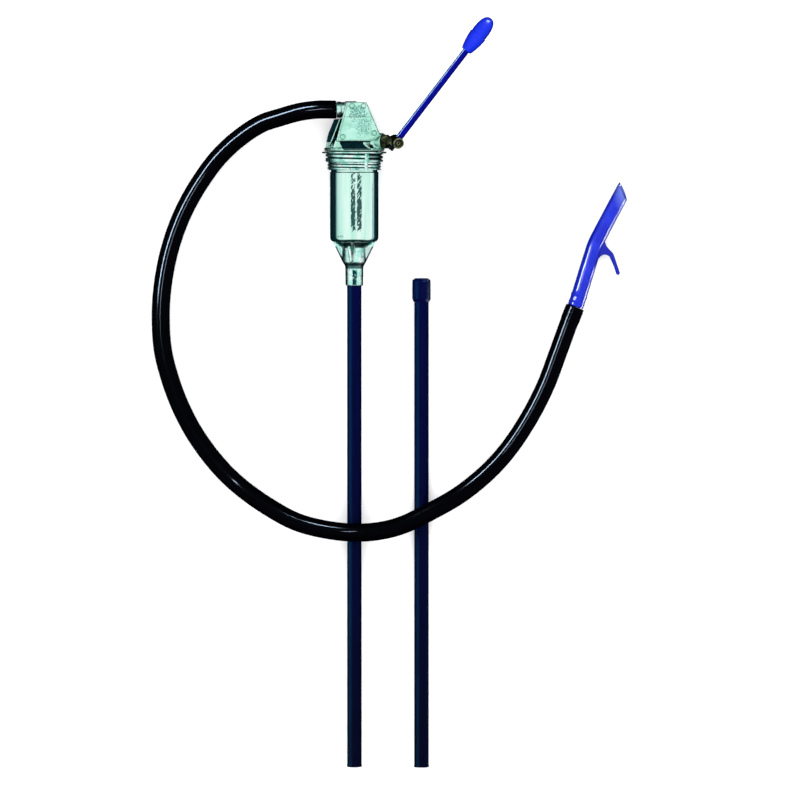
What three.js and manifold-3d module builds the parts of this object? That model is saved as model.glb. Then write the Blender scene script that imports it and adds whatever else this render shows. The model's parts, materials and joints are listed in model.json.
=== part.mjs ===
// Lever-operated piston pump for drums, laid flat: die-cast head with a drum thread, pump cylinder,
// suction tube, discharge hose with a hooked spout, hand lever, and a loose extension tube.
// Millimetres. The table is the plane z = 0, and the pump's own axis runs along +Y towards its head.
import * as THREE from 'three';
import { mergeVertices } from 'three/addons/utils/BufferGeometryUtils.js';
import Module from 'manifold-3d';

const wasm = await Module();
wasm.setup();

// ---- Driving dimensions --------------------------------------------------------------------
const GAP = 0.3; // between pieces that touch
const HAIR = 0.15; // running clearance on a radius

// Levels along the pump axis, measured from the head's reference point.
const HEAD_TOP = 29.6;
const COVER_BOTTOM = -12.5;
const HEAD_BASE = -24.4;
const FLANGE_TOP = -25.6;
const FLANGE_BOTTOM = -27.4;
const UPPER_THREAD_END = -37;
const COLLAR_END = -46;
const BARREL_END = -125;
const FUNNEL_TOP = -131;
const CUP_END = -151;
const SPIGOT_TOP = -156.8;
const SPIGOT_END = -175;
const TUBE_END = -713.4;

// Radii about the pump axis.
const FLANGE_RADIUS = 36;
const DRUM_THREAD = 32; // M64 x 4
const PIPE_THREAD = 29.8; // G2
const BARREL_RADIUS = 27;
const BORE_RADIUS = 24;
const NECK_RADIUS = 26.2;
const CUP_RADIUS = 13.3;
const SPIGOT_RADIUS = 9.85;
const TUBE_RADIUS = 8.05;
const TUBE_BORE = 6.2;
const BEAD_RADIUS = 8.4;

// Depths across the head, from the pump axis towards the cover.
const HOUSING_FRONT = 22;
const RECESS_FLOOR = 16.5;
const COVER_THICKNESS = 5;
const GASKET_THICKNESS = 0.8;

// The shaft crosses the pump axis and leans towards the cover.
const SHAFT_LEVEL = -14.2;
const SHAFT_LEAN = THREE.MathUtils.degToRad(26);
const SHAFT_RADIUS = 6;
const BOSS_RADIUS = 9.5;
const BOSS_END = 36;
const BUSH_RADIUS = 7.7;
const PACKING_START = 28.4;
const GLAND_START = 31.8;
const GLAND_END = 42.4;
const KNUCKLE_AT = 52;
const KNUCKLE_RADIUS = 6.4;

// Crank and lever.
const CRANK_RADIUS = 18;
const CRANK_INNER = 3; // along the shaft
const CRANK_OUTER = 11.4;
const CRANK_HUB_RADIUS = 9.6;
const CRANK_TIP_RADIUS = 5.6;
const LEVER_TRAVEL = THREE.MathUtils.degToRad(80);
const CRANK_PIN_RADIUS = 3;
const LEVER_LEAN = THREE.MathUtils.degToRad(37.6);
const LEVER_RADIUS = 3.9;
const GRIP_BORE_DEPTH = 26;
const TAIL_RADIUS = 3.2;
const LEVER_SCREW_RADIUS = 2.8;
const LEVER_SCREW_END = 7.4;
const LEVER_TAIL = 11.5;
const GRIP_START = 128.7;
const GRIP_LENGTH = 45.6;
const KNUCKLE_TILT = THREE.MathUtils.degToRad(27);

// Piston and valves, at rest with the piston at the bottom of its stroke.
const PISTON_TOP = -94;
const PISTON_BOTTOM = -106;
const SEAT_TOP = -117.5;
const SEAT_BOTTOM = -120.7;

// Outlet, hose and spout.
const OUTLET_LEVEL = 21.3;
const OUTLET_END = -19.7;
const OUTLET_RADIUS = 9;
const HOSE_RADIUS = 10.2;
const SPOUT_RADIUS = 8.75;
const SPOUT_BORE = 7.1;

// Extension tube, lying beside the pump.
const EXTENSION_X = 75;
const COUPLING_TOP = -165;
const COUPLING_BOTTOM = -192.6;
const COUPLING_RADIUS = 10.3;

// The pump lies on its flange and on the bead of its suction tube.
const TILT = Math.atan((FLANGE_RADIUS - BEAD_RADIUS) / (FLANGE_BOTTOM - TUBE_END));
const AXIS_HEIGHT = FLANGE_RADIUS * Math.cos(TILT) - FLANGE_BOTTOM * Math.sin(TILT);

// The hose lies on the table, over both tubes, from the outlet to the spout (centreline points).
const HOSE_ROUTE = [
  [-20, 21.3, 37.9], [-41, 21.3, 37.6], [-61, 18.8, 35.6], [-82.5, 13, 31.8], [-103, 6.4, 27],
  [-127.2, -8.7, 20.6], [-151.9, -31.1, 14.2], [-175.8, -63.8, 10.8], [-193.2, -96.3, 10.3],
  [-205, -128.6, 10.3], [-212.4, -160.7, 10.3], [-216.5, -199.4, 10.3], [-214.8, -243, 10.3],
  [-209.2, -268.6, 10.3], [-197.5, -302.8, 10.3], [-180, -337.8, 10.4], [-155.1, -372.2, 10.8],
  [-129.6, -397.7, 12.6], [-92.8, -423.7, 19.6], [-58, -440.7, 28.8], [0, -450.2, 38.3],
  [45.4, -444.6, 34], [91.2, -423.6, 27.2], [120.4, -406.3, 20.5], [151.5, -380.6, 14],
  [174.4, -354.5, 11], [196.9, -319.9, 10.3], [214.4, -285, 10.3], [227.7, -249.6, 10.3],
  [238.9, -218.9, 10.3], [246.9, -198.4, 10.3],
];
const SPOUT_ROUTE = [
  [247.05, -197.95, 10.2], [250.6, -187.8, 10.1], [264, -144.5, 9.5], [269.2, -128.6, 9.3],
  [276, -114.8, 9.2], [308.5, -53.8, 8.9],
];

// ---- Materials -----------------------------------------------------------------------------
const finish = (color, roughness, metalness) =>
  new THREE.MeshStandardMaterial({ color, roughness, metalness });
const castMetal = () => finish(0xb9d8cf, 0.42, 0.9);
const turnedMetal = () => finish(0xc8d6d2, 0.3, 1);
const steel = () => finish(0x8c9190, 0.35, 1);
const darkSteel = () => finish(0x3b3a2c, 0.4, 0.9);
const bronze = () => finish(0xa9793f, 0.4, 1);
const blackRubber = () => finish(0x0a0a0a, 0.5, 0);
const hoseBlack = () => finish(0x060608, 0.2, 0);
const tubeNavy = () => finish(0x0c1322, 0.45, 0);
const leverBlue = () => finish(0x1a1f8c, 0.35, 0.1);
const gripBlue = () => finish(0x1a37f0, 0.4, 0);
const spoutBlue = () => finish(0x2a3cf5, 0.25, 0);

// ---- Solid helpers -------------------------------------------------------------------------
// A closed geometry as a solid, its faces turned outwards.
function solid(geometry) {
  const bare = geometry.clone();
  bare.deleteAttribute('normal');
  bare.deleteAttribute('uv');
  const merged = mergeVertices(bare, 1e-4);
  const points = merged.attributes.position;
  const triVerts = new Uint32Array(merged.index.array);
  const corner = (i) => new THREE.Vector3().fromBufferAttribute(points, triVerts[i]);
  let volume = 0;
  for (let i = 0; i < triVerts.length; i += 3) {
    volume += corner(i).dot(corner(i + 1).cross(corner(i + 2)));
  }
  if (volume < 0) {
    for (let i = 0; i < triVerts.length; i += 3) {
      [triVerts[i], triVerts[i + 1]] = [triVerts[i + 1], triVerts[i]];
    }
  }
  const vertProperties = new Float32Array(points.array);
  return new wasm.Manifold(new wasm.Mesh({ numProp: 3, vertProperties, triVerts }));
}

function surface(body) {
  const mesh = body.getMesh();
  const geometry = new THREE.BufferGeometry();
  geometry.setAttribute('position', new THREE.BufferAttribute(mesh.vertProperties, 3));
  geometry.setIndex(new THREE.BufferAttribute(mesh.triVerts, 1));
  geometry.computeVertexNormals();
  return geometry;
}

const joined = (first, ...others) => others.reduce((body, other) => body.add(other), first);
const less = (first, ...others) => others.reduce((body, other) => body.subtract(other), first);
const moved = (body, matrix) => body.transform(matrix.elements);

// A round bar from one point to another, tapering if the end radius differs.
function bar(radius, from, to, sides = 24, endRadius = radius) {
  const start = new THREE.Vector3(...from);
  const run = new THREE.Vector3(...to).sub(start);
  const geometry = new THREE.CylinderGeometry(endRadius, radius, run.length(), sides);
  geometry.translate(0, run.length() / 2, 0);
  const up = new THREE.Vector3(0, 1, 0);
  geometry.applyQuaternion(new THREE.Quaternion().setFromUnitVectors(up, run.clone().normalize()));
  geometry.translate(...start);
  return solid(geometry);
}

// A solid of revolution about the Y axis from closed [radius, level] points.
function turned(profile, sides = 32) {
  const points = profile.map(([radius, level]) => new THREE.Vector2(radius, level));
  return solid(new THREE.LatheGeometry([...points, points[0].clone()], sides));
}

const ring = (inner, outer, low, high, sides) =>
  turned([[inner, low], [outer, low], [outer, high], [inner, high]], sides);

// A flat plate with an outline in X and Y, from one depth to another.
function plate(outline, back, front) {
  const shape = new THREE.Shape(outline.map(([x, y]) => new THREE.Vector2(x, y)));
  const geometry = new THREE.ExtrudeGeometry(shape, { depth: front - back, bevelEnabled: false });
  geometry.translate(0, 0, back);
  return solid(geometry);
}

function block(low, high) {
  const size = high.map((value, i) => value - low[i]);
  const geometry = new THREE.BoxGeometry(...size);
  geometry.translate(...low.map((value, i) => value + size[i] / 2));
  return solid(geometry);
}

function circleShape(radius, sides) {
  const corner = (i) => {
    const angle = (2 * Math.PI * (i + 0.5)) / sides;
    return new THREE.Vector2(radius * Math.cos(angle), radius * Math.sin(angle));
  };
  return new THREE.Shape(Array.from({ length: sides }, (_, i) => corner(i)));
}

// A round section swept along a smooth curve through the points.
function swept(points, radius, sides, steps) {
  const route = points.map((point) => new THREE.Vector3(...point));
  const extrudePath = new THREE.CatmullRomCurve3(route, false, 'centripetal');
  return solid(new THREE.ExtrudeGeometry(circleShape(radius, sides), { steps, extrudePath }));
}

// A compression spring about the Y axis.
function spring(coilRadius, wireRadius, low, high, turns) {
  const stepsPerTurn = 8;
  const rise = high - low - 2 * wireRadius;
  const coil = Array.from({ length: turns * stepsPerTurn + 1 }, (_, i) => {
    const part = i / (turns * stepsPerTurn);
    const angle = 2 * Math.PI * turns * part;
    const level = low + wireRadius + rise * part;
    return [coilRadius * Math.cos(angle), level, coilRadius * Math.sin(angle)];
  });
  return swept(coil, wireRadius, 4, turns * stepsPerTurn);
}

// Screw with a round head, a hex socket and a plain shank, its head's underside at the origin, along +Z.
function socketScrew(headRadius, headHeight, shankRadius, shankLength, socketRadius) {
  const head = bar(headRadius, [0, 0, 0], [0, 0, headHeight], 12);
  const shank = bar(shankRadius, [0, 0, -shankLength], [0, 0, 0.1], 12);
  const socket = bar(socketRadius, [0, 0, headHeight * 0.4], [0, 0, headHeight + 1], 6);
  return less(joined(head, shank), socket);
}

// ---- Frames --------------------------------------------------------------------------------
const pump = new THREE.Group();
pump.rotation.x = TILT;
pump.position.z = AXIS_HEIGHT;

// Inside the pump, X of the shaft frame runs out along the shaft and Z is square to it.
const shaftFrame = new THREE.Group();
shaftFrame.rotation.y = -SHAFT_LEAN;
shaftFrame.position.y = SHAFT_LEVEL;
pump.add(shaftFrame);
pump.updateMatrixWorld(true);

const toPump = (body) => moved(body, shaftFrame.matrix);

function add(group, name, body, material) {
  const mesh = new THREE.Mesh(surface(body), material);
  mesh.name = name;
  group.add(mesh);
}

// A bar on the shaft's axis between two places along it, in the shaft frame.
const onShaft = (radius, from, to, sides) => bar(radius, [from, 0, 0], [to, 0, 0], sides);

// ---- Head: housing, gasket, cover and its screws ---------------------------------------------
const COVER_OUTLINE = [
  [-6.6, 29.2], [13.1, 29.2], [27.8, -6.2], [18.5, COVER_BOTTOM], [-17.2, COVER_BOTTOM],
];
const FRONT_OPENING = [[-1.5, 21], [7.6, 21], [17.6, -3.2], [13.6, -6.6], [-9.6, -6.6]];
const SCREW_PLACES = [[-2.4, 25.6], [10.4, 25.6], [-12.6, -9], [22.4, -4.6]];
const SCREW_CLEARANCE = 1.8;
const SCREW_DEPTH = 9;

function housingBody() {
  const frontOutline = [[-8.6, HEAD_TOP], [13.4, HEAD_TOP], [28.6, -6.4], [19, -13.6], [-20, -13.6]];
  const frontFlange = plate(frontOutline, 6, HOUSING_FRONT);
  const rightSide = [[-8.6, HEAD_TOP], [13.4, HEAD_TOP], [28.6, -6.4], [29.5, HEAD_BASE]];
  const middleOutline = [
    ...rightSide, [-30, HEAD_BASE], [-28.3, -18.5], [-24.9, -10.8], [-16.5, 11.1], [-11, 11.1],
  ];
  const middle = plate(middleOutline, -6, 8);
  const rearOutline = [
    ...rightSide, [-32, HEAD_BASE], [-31, -14], [-29, -5.6], [-22.5, 10.4], [-11, 11.1],
  ];
  const rear = plate(rearOutline, -42, -4);
  const finOutline = [
    [-16.5, 11.1], [-24.9, -10.8], [-28.3, -18.5], [-26.9, -19], [-23.5, -11.3], [-15.1, 10.6],
  ];
  const fin = plate(finOutline, 7, 13);
  const chin = plate([[-21, -13], [24, -13], [27, HEAD_BASE], [-25, HEAD_BASE]], 6, HOUSING_FRONT - 1.5);
  const chinOutline = [[-16.4, -14.4], [17.5, -14.4], [18.8, -23.4], [-11.5, -23.4]];
  const chinRecess = plate(chinOutline, RECESS_FLOOR, 40);
  const baseRing = bar(FLANGE_RADIUS - 2.5, [0, HEAD_BASE, 0], [0, HEAD_BASE + 3, 0], 28);
  const outletBoss = bar(OUTLET_RADIUS + 0.3, [-10, OUTLET_LEVEL, 0], [2, OUTLET_LEVEL, 0]);
  const boss = toPump(onShaft(BOSS_RADIUS, 6, BOSS_END));
  return less(joined(frontFlange, middle, rear, fin, chin, baseRing, outletBoss, boss), chinRecess);
}

function headHousing() {
  const lowerChamber = bar(BORE_RADIUS + 0.8, [0, HEAD_BASE - 9, 0], [0, -4, 0], 24)
    .intersect(block([-40, -60, -40], [40, 20, 13.6]));
  const upperChamber = plate([[-2, 24], [9, 24], [20.6, -5], [-18, -5], [-12.6, 8]], -26, 8.5);
  const opening = plate(FRONT_OPENING, 0, HOUSING_FRONT + 1);
  const outletBore = bar(6.8, [-12, OUTLET_LEVEL, 0], [0, OUTLET_LEVEL, 0]);
  const outletSeat = bar(OUTLET_RADIUS + GAP, [-40, OUTLET_LEVEL, 0], [-10, OUTLET_LEVEL, 0]);
  const neck = ring(BORE_RADIUS + 0.8, NECK_RADIUS, -31, HEAD_BASE + 1, 24);
  const bosses = [onShaft(9, -28, -13), onShaft(BOSS_RADIUS, 12.6, BOSS_END)].map(toPump);
  const innerBore = onShaft(BUSH_RADIUS + GAP, -24.3, -12);
  const outerBore = onShaft(BUSH_RADIUS + GAP, 12, BOSS_END + 2);
  const screwHoles = SCREW_PLACES.map(([x, y]) =>
    bar(SCREW_CLEARANCE, [x, y, HOUSING_FRONT - SCREW_DEPTH], [x, y, HOUSING_FRONT + 1], 12));
  const crankSweep = toPump(onShaft(CRANK_RADIUS + 7.2, CRANK_INNER - 1.4, CRANK_OUTER + 1, 32));
  const crankPocket = crankSweep.intersect(block([-40, HEAD_BASE + 0.4, -40], [40, 12, 8.5]));
  const hollow = less(housingBody(), lowerChamber, upperChamber, opening, crankPocket);
  const table = moved(block([-90, -90, -60], [90, 90, 0]), pump.matrix.clone().invert());
  const shaftCuts = [innerBore, outerBore, lockScrewHole()].map(toPump);
  const solid = joined(hollow, ...bosses, neck);
  return less(solid, outletBore, outletSeat, ...shaftCuts, ...screwHoles, table);
}

function frontCover() {
  const back = HOUSING_FRONT + GASKET_THICKNESS + 2 * GAP;
  const front = back + COVER_THICKNESS;
  const upperStep = plate([[-40, 13], [40, 13], [40, 40], [-40, 40]], front - 0.9, front + 1);
  const holes = SCREW_PLACES.map(([x, y]) => bar(SCREW_CLEARANCE, [x, y, 0], [x, y, front + 1], 12));
  const sinks = SCREW_PLACES.map(([x, y]) => bar(3, [x, y, front - 2.4], [x, y, front + 1], 12));
  return less(plate(COVER_OUTLINE, back, front), upperStep, ...holes, ...sinks);
}

function coverGasket() {
  const back = HOUSING_FRONT + GAP;
  const outer = plate(COVER_OUTLINE, back, back + GASKET_THICKNESS);
  const holes = SCREW_PLACES.map(([x, y]) => bar(SCREW_CLEARANCE, [x, y, 0], [x, y, 40], 12));
  return less(outer, plate(FRONT_OPENING, 0, 40), ...holes);
}

// A grub screw in the boss that locks the outer bush.
const LOCK_SCREW_AT = 25.3;
const LOCK_SCREW_TURN = THREE.MathUtils.degToRad(35);
const lockScrewPoint = (radius) =>
  [LOCK_SCREW_AT, -radius * Math.sin(LOCK_SCREW_TURN), radius * Math.cos(LOCK_SCREW_TURN)];
const lockScrewHole = () => bar(2.6, lockScrewPoint(6.5), lockScrewPoint(16), 12);

function lockScrew() {
  const stem = bar(2.3, lockScrewPoint(BUSH_RADIUS + GAP), lockScrewPoint(10.4), 12);
  return less(stem, bar(1.3, lockScrewPoint(9.2), lockScrewPoint(12), 6));
}

add(pump, 'head_housing', headHousing(), castMetal());
add(pump, 'cover_gasket', coverGasket(), blackRubber());
add(pump, 'front_cover', frontCover(), castMetal());
SCREW_PLACES.forEach(([x, y], i) => {
  const front = HOUSING_FRONT + GASKET_THICKNESS + 2 * GAP + COVER_THICKNESS;
  const screw = socketScrew(2.7, 1.7, 1.5, SCREW_DEPTH + 2, 1.3);
  const place = new THREE.Matrix4().makeTranslation(x, y, front - 2.4 + GAP);
  add(pump, `cover_screw_${i + 1}`, moved(screw, place), steel());
});
add(shaftFrame, 'bush_lock_screw', lockScrew(), darkSteel());

// ---- Outlet nozzle --------------------------------------------------------------------------
function outletNozzle() {
  const shoulder = bar(OUTLET_RADIUS, [OUTLET_END, OUTLET_LEVEL, 0], [-10 - GAP, OUTLET_LEVEL, 0]);
  const spigot = bar(6.5, [-11, OUTLET_LEVEL, 0], [-4, OUTLET_LEVEL, 0]);
  return less(joined(shoulder, spigot), bar(4.8, [-25, OUTLET_LEVEL, 0], [0, OUTLET_LEVEL, 0], 20));
}
add(pump, 'outlet_nozzle', outletNozzle(), castMetal());

// ---- Drum collar, cylinder, valve seat and suction tube ----------------------------------------
// Thread crests between two levels, as closed [radius, level] points going down.
function crests(major, depth, top, bottom, pitch) {
  const count = Math.floor((top - bottom) / pitch);
  return Array.from({ length: count }, (_, i) => {
    const level = top - i * pitch;
    return [[major, level - 0.3 * pitch], [major, level - 0.5 * pitch],
      [major - depth, level - 0.8 * pitch], [major - depth, level - pitch]];
  }).flat();
}

function threadCollar() {
  const innerWide = BORE_RADIUS + 2.5;
  const profile = [
    [innerWide, COLLAR_END], [innerWide, FLANGE_TOP], [FLANGE_RADIUS - 0.6, FLANGE_TOP],
    [FLANGE_RADIUS, FLANGE_TOP - 0.6], [FLANGE_RADIUS, FLANGE_BOTTOM],
    [DRUM_THREAD, FLANGE_BOTTOM],
    ...crests(DRUM_THREAD, 2.4, FLANGE_BOTTOM - 0.6, UPPER_THREAD_END, 4),
    ...crests(PIPE_THREAD, 1.4, UPPER_THREAD_END + 0.6, COLLAR_END, 2.309),
    [PIPE_THREAD - 1.6, COLLAR_END],
  ];
  const relief = new THREE.Matrix4().makeRotationY(THREE.MathUtils.degToRad(28));
  const land = block([-1.6, COLLAR_END + 0.8, BARREL_RADIUS + 1.2], [1.6, FLANGE_BOTTOM - 0.2, 40]);
  return less(turned(profile, 28), moved(land, relief));
}

const BARREL_EDGE = 6;
const RIB_HALF = 0.9;

function pumpCylinder() {
  const innerTop = COLLAR_END + 0.4;
  const edge = Array.from({ length: 4 }, (_, i) => {
    const angle = (Math.PI / 2) * (i / 3);
    const side = BARREL_RADIUS - BARREL_EDGE * (1 - Math.cos(angle));
    return [side, BARREL_END - BARREL_EDGE * Math.sin(angle)];
  });
  const body = turned([
    [BORE_RADIUS, -31.3], [NECK_RADIUS, -31.3],
    [NECK_RADIUS, innerTop - 0.7], [BARREL_RADIUS, innerTop - 0.7],
    ...edge, [CUP_RADIUS, FUNNEL_TOP], [CUP_RADIUS, CUP_END], [SPIGOT_RADIUS + 0.6, CUP_END - 4.6],
    [SPIGOT_RADIUS, SPIGOT_TOP], [SPIGOT_RADIUS, SPIGOT_END], [TUBE_RADIUS + GAP, SPIGOT_END],
    [TUBE_RADIUS + GAP, -158], [6, -158], [6, -153],
    [10.3, -150], [10.3, -128.5], [18, -124.5],
    [18, SEAT_BOTTOM - GAP], [BORE_RADIUS, SEAT_BOTTOM - GAP],
  ], 28);
  const ribs = [0, 1, 2, 3].map((quarter) => {
    const outline = [[11.5, -129.5], [22, -129.5], [22, -132], [CUP_RADIUS + 0.4, -148.5], [11.5, -148.5]];
    const rib = plate(outline, -RIB_HALF, RIB_HALF);
    const turn = THREE.MathUtils.degToRad(-90 - 6.7 + 90 * quarter);
    return moved(rib, new THREE.Matrix4().makeRotationY(turn));
  });
  return joined(body, ...ribs);
}

function tube(from, to, bead) {
  return turned([[TUBE_BORE, to], [bead, to], [bead, to + 2.4], [TUBE_RADIUS, to + 3.4],
    [TUBE_RADIUS, from], [TUBE_BORE, from]], 16);
}

function portPlate(outer, centre, low, high, portCircle) {
  const ports = Array.from({ length: 6 }, (_, i) => {
    const angle = (Math.PI / 3) * i;
    const [x, z] = [portCircle * Math.cos(angle), portCircle * Math.sin(angle)];
    return bar(2.6, [x, low - 1, z], [x, high + 1, z], 8);
  });
  return less(ring(centre, outer, low, high, 28), ...ports);
}

add(pump, 'collar_gasket', ring(27, 33, FLANGE_TOP + GAP, HEAD_BASE - GAP, 28), blackRubber());
add(pump, 'thread_collar', threadCollar(), castMetal());
add(pump, 'pump_cylinder', pumpCylinder(), turnedMetal());
add(pump, 'foot_valve_seat', portPlate(BORE_RADIUS - GAP, 2.9, SEAT_BOTTOM, SEAT_TOP, 8.5), bronze());
add(pump, 'suction_tube', tube(-158.4, TUBE_END, BEAD_RADIUS), tubeNavy());

// Foot valve: a disc on a stem, with a clip and a spring under the seat.
function footValveDisc() {
  const disc = bar(12.6, [0, SEAT_TOP + 0.2, 0], [0, SEAT_TOP + 2.2, 0], 20);
  return joined(disc, bar(2.5, [0, -134, 0], [0, SEAT_TOP + 1, 0], 16));
}
add(pump, 'foot_valve_disc', footValveDisc(), steel());
add(pump, 'foot_valve_clip', ring(2.6, 5.6, -133.4, -131.9, 16), steel());
add(pump, 'foot_valve_spring', spring(4.4, 0.5, -131.6, SEAT_BOTTOM - GAP, 4), steel());

// ---- Piston, rod, yoke and piston valve ---------------------------------------------------------
const PIN_DROP = CRANK_RADIUS * Math.sin(LEVER_TRAVEL / 2);
const PIN_REACH = CRANK_RADIUS * Math.cos(LEVER_TRAVEL / 2);

// The yoke hangs beside the shaft; its level slot carries the crank pin. Shaft frame.
function pistonYoke() {
  const outline = [[9.4, -5.6], [23.4, -5.6], [23.4, 5.4], [9.4, 5.4]];
  const lower = [[9.6, -5], [20.5, -5], [20.5, -29], [-6.5, -29], [-6.5, -21], [9.6, -21]];
  const slotHalf = CRANK_PIN_RADIUS + 0.6;
  const slot = [[PIN_REACH - slotHalf, -slotHalf], [CRANK_RADIUS + slotHalf, -slotHalf],
    [CRANK_RADIUS + slotHalf, slotHalf], [PIN_REACH - slotHalf, slotHalf]];
  const flat = less(joined(plate(outline, -4, 2), plate(lower, -4, 2)), plate(slot, -9, 9));
  const footEnlarged = bar(7.5, [0, -29, 0], [0, -21.8, 0], 20);
  const standing = moved(flat, new THREE.Matrix4().makeRotationY(Math.PI / 2));
  const threadHole = bar(4.3, [0, -30, 0], [0, -20, 0], 16);
  const placed = less(joined(standing, footEnlarged), threadHole);
  return moved(placed, new THREE.Matrix4().makeTranslation(0, -PIN_DROP, 0));
}

function pistonRod() {
  const yokeFoot = SHAFT_LEVEL - PIN_DROP - 29;
  const shoulder = PISTON_TOP + GAP;
  return turned([[0, -109.6], [3.6, -109.6], [3.6, shoulder], [5, shoulder], [5, yokeFoot - GAP],
    [4, yokeFoot - GAP], [4, yokeFoot + 7.2], [0, yokeFoot + 7.2]], 20);
}

function pistonBody() {
  const rim = BORE_RADIUS - 0.3;
  const groove = (level) => [
    [rim, level + 1.9], [rim - 3, level + 1.9], [rim - 3, level - 1.9], [rim, level - 1.9],
  ];
  const profile = [[3.9, PISTON_BOTTOM], [3.9, PISTON_TOP], [rim, PISTON_TOP],
    ...groove(PISTON_TOP - 3.2), ...groove(PISTON_BOTTOM + 3.2), [rim, PISTON_BOTTOM]];
  const ports = Array.from({ length: 6 }, (_, i) => {
    const angle = (Math.PI / 3) * (i + 0.5);
    const [x, z] = [11.5 * Math.cos(angle), 11.5 * Math.sin(angle)];
    return bar(2.6, [x, PISTON_BOTTOM - 1, z], [x, PISTON_TOP + 1, z], 8);
  });
  return less(turned(profile, 28), ...ports);
}

const SEAL_HALF = 1.6;
function pistonSeal(level) {
  return ring(BORE_RADIUS - 2.95, BORE_RADIUS - 0.1, level - SEAL_HALF, level + SEAL_HALF, 28);
}

add(shaftFrame, 'piston_yoke', pistonYoke(), steel());
add(pump, 'piston_rod', pistonRod(), steel());
add(pump, 'piston_body', pistonBody(), turnedMetal());
add(pump, 'piston_seal_upper', pistonSeal(PISTON_TOP - 3.2), blackRubber());
add(pump, 'piston_seal_lower', pistonSeal(PISTON_BOTTOM + 3.2), blackRubber());
add(pump, 'piston_nut', less(bar(6.5, [0, -109.3, 0], [0, PISTON_BOTTOM - GAP, 0], 6),
  bar(3.9, [0, -115, 0], [0, -100, 0], 16)), steel());
add(pump, 'piston_valve_disc', ring(5.3, 15.5, PISTON_TOP + 0.2, PISTON_TOP + 2, 20), bronze());
add(pump, 'piston_valve_spring', spring(7, 0.5, PISTON_TOP + 2.3, -84.3, 4), steel());
add(pump, 'piston_spring_clip', ring(5.2, 9.5, -84, -82.4, 20), steel());

// ---- Shaft, crank and gland ----------------------------------------------------------------------
const leverAlong = new THREE.Vector3(Math.sin(LEVER_LEAN), Math.cos(LEVER_LEAN), 0);
const knuckleAlong = new THREE.Vector3(Math.cos(LEVER_LEAN), -Math.sin(LEVER_LEAN), 0)
  .multiplyScalar(Math.sin(KNUCKLE_TILT)).add(new THREE.Vector3(0, 0, Math.cos(KNUCKLE_TILT)));
const knuckleCentre = new THREE.Vector3(KNUCKLE_AT, 0, 0).applyMatrix4(shaftFrame.matrix);
const fromKnuckle = (direction, distance) =>
  knuckleCentre.clone().addScaledVector(direction, distance).toArray();

// The shaft ends in a short cross barrel that takes the lever.
function rockerShaft() {
  const shaft = toPump(onShaft(SHAFT_RADIUS, -24, KNUCKLE_AT, 20));
  const knuckle = bar(KNUCKLE_RADIUS, fromKnuckle(knuckleAlong, -7), fromKnuckle(knuckleAlong, 8), 20);
  const leverHole = bar(LEVER_RADIUS + GAP, fromKnuckle(leverAlong, -20), fromKnuckle(leverAlong, 20), 20);
  const screwHole = bar(3.1, fromKnuckle(knuckleAlong, 0), fromKnuckle(knuckleAlong, 12), 16);
  const glandRoom = toPump(shaftRing(SHAFT_RADIUS, BUSH_RADIUS + 1, GLAND_START, GLAND_END + GAP));
  return less(joined(shaft, less(knuckle, glandRoom)), leverHole, screwHole);
}

const crankTip = [0, -PIN_DROP, -PIN_REACH];
const CRANK_MIDDLE = 0.5 * (CRANK_INNER + CRANK_OUTER);

function crankArm() {
  const at = (along, [, level, depth]) => [along, level, depth];
  const hub = onShaft(CRANK_HUB_RADIUS, CRANK_INNER, CRANK_OUTER, 20);
  const tip = bar(CRANK_TIP_RADIUS, at(CRANK_INNER, crankTip), at(CRANK_OUTER, crankTip), 20);
  const web = new THREE.BoxGeometry(CRANK_OUTER - CRANK_INNER, 11, CRANK_RADIUS);
  web.translate(0, 0, -CRANK_RADIUS / 2);
  web.rotateX(-LEVER_TRAVEL / 2);
  web.translate(CRANK_MIDDLE, 0, 0);
  const shaftHole = onShaft(SHAFT_RADIUS + HAIR, 0, 20);
  const pinHole = bar(CRANK_PIN_RADIUS + HAIR, at(0, crankTip), at(20, crankTip), 20);
  const screwHole = bar(1.9, [CRANK_MIDDLE, 5, 0], [CRANK_MIDDLE, 15, 0], 12);
  return less(joined(hub, tip, solid(web)), shaftHole, pinHole, screwHole);
}

function crankPin() {
  return bar(CRANK_PIN_RADIUS, [-5.4, -PIN_DROP, -PIN_REACH], [CRANK_OUTER, -PIN_DROP, -PIN_REACH], 20);
}

function crankScrew() {
  const stem = bar(1.7, [CRANK_MIDDLE, SHAFT_RADIUS + HAIR + 0.2, 0], [CRANK_MIDDLE, 9.4, 0], 12);
  return less(stem, bar(0.9, [CRANK_MIDDLE, 8.2, 0], [CRANK_MIDDLE, 11, 0], 6));
}

add(pump, 'rocker_shaft', rockerShaft(), darkSteel());
add(shaftFrame, 'crank_arm', crankArm(), steel());
add(shaftFrame, 'crank_pin', crankPin(), steel());
add(shaftFrame, 'crank_set_screw', crankScrew(), steel());
add(shaftFrame, 'inner_bush', shaftRing(SHAFT_RADIUS + HAIR, BUSH_RADIUS, -24, -13), bronze());
add(shaftFrame, 'outer_bush', shaftRing(SHAFT_RADIUS + HAIR, BUSH_RADIUS, 13, 28), bronze());
const packingRing = shaftRing(SHAFT_RADIUS + HAIR, BUSH_RADIUS, PACKING_START, GLAND_START - 0.4);
add(shaftFrame, 'shaft_packing', packingRing, blackRubber());
add(shaftFrame, 'gland_nut', glandNut(), darkSteel());

// A ring about the shaft between two places along it.
function shaftRing(inner, outer, from, to) {
  return less(onShaft(outer, from, to, 20), onShaft(inner, from - 1, to + 1, 20));
}

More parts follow.
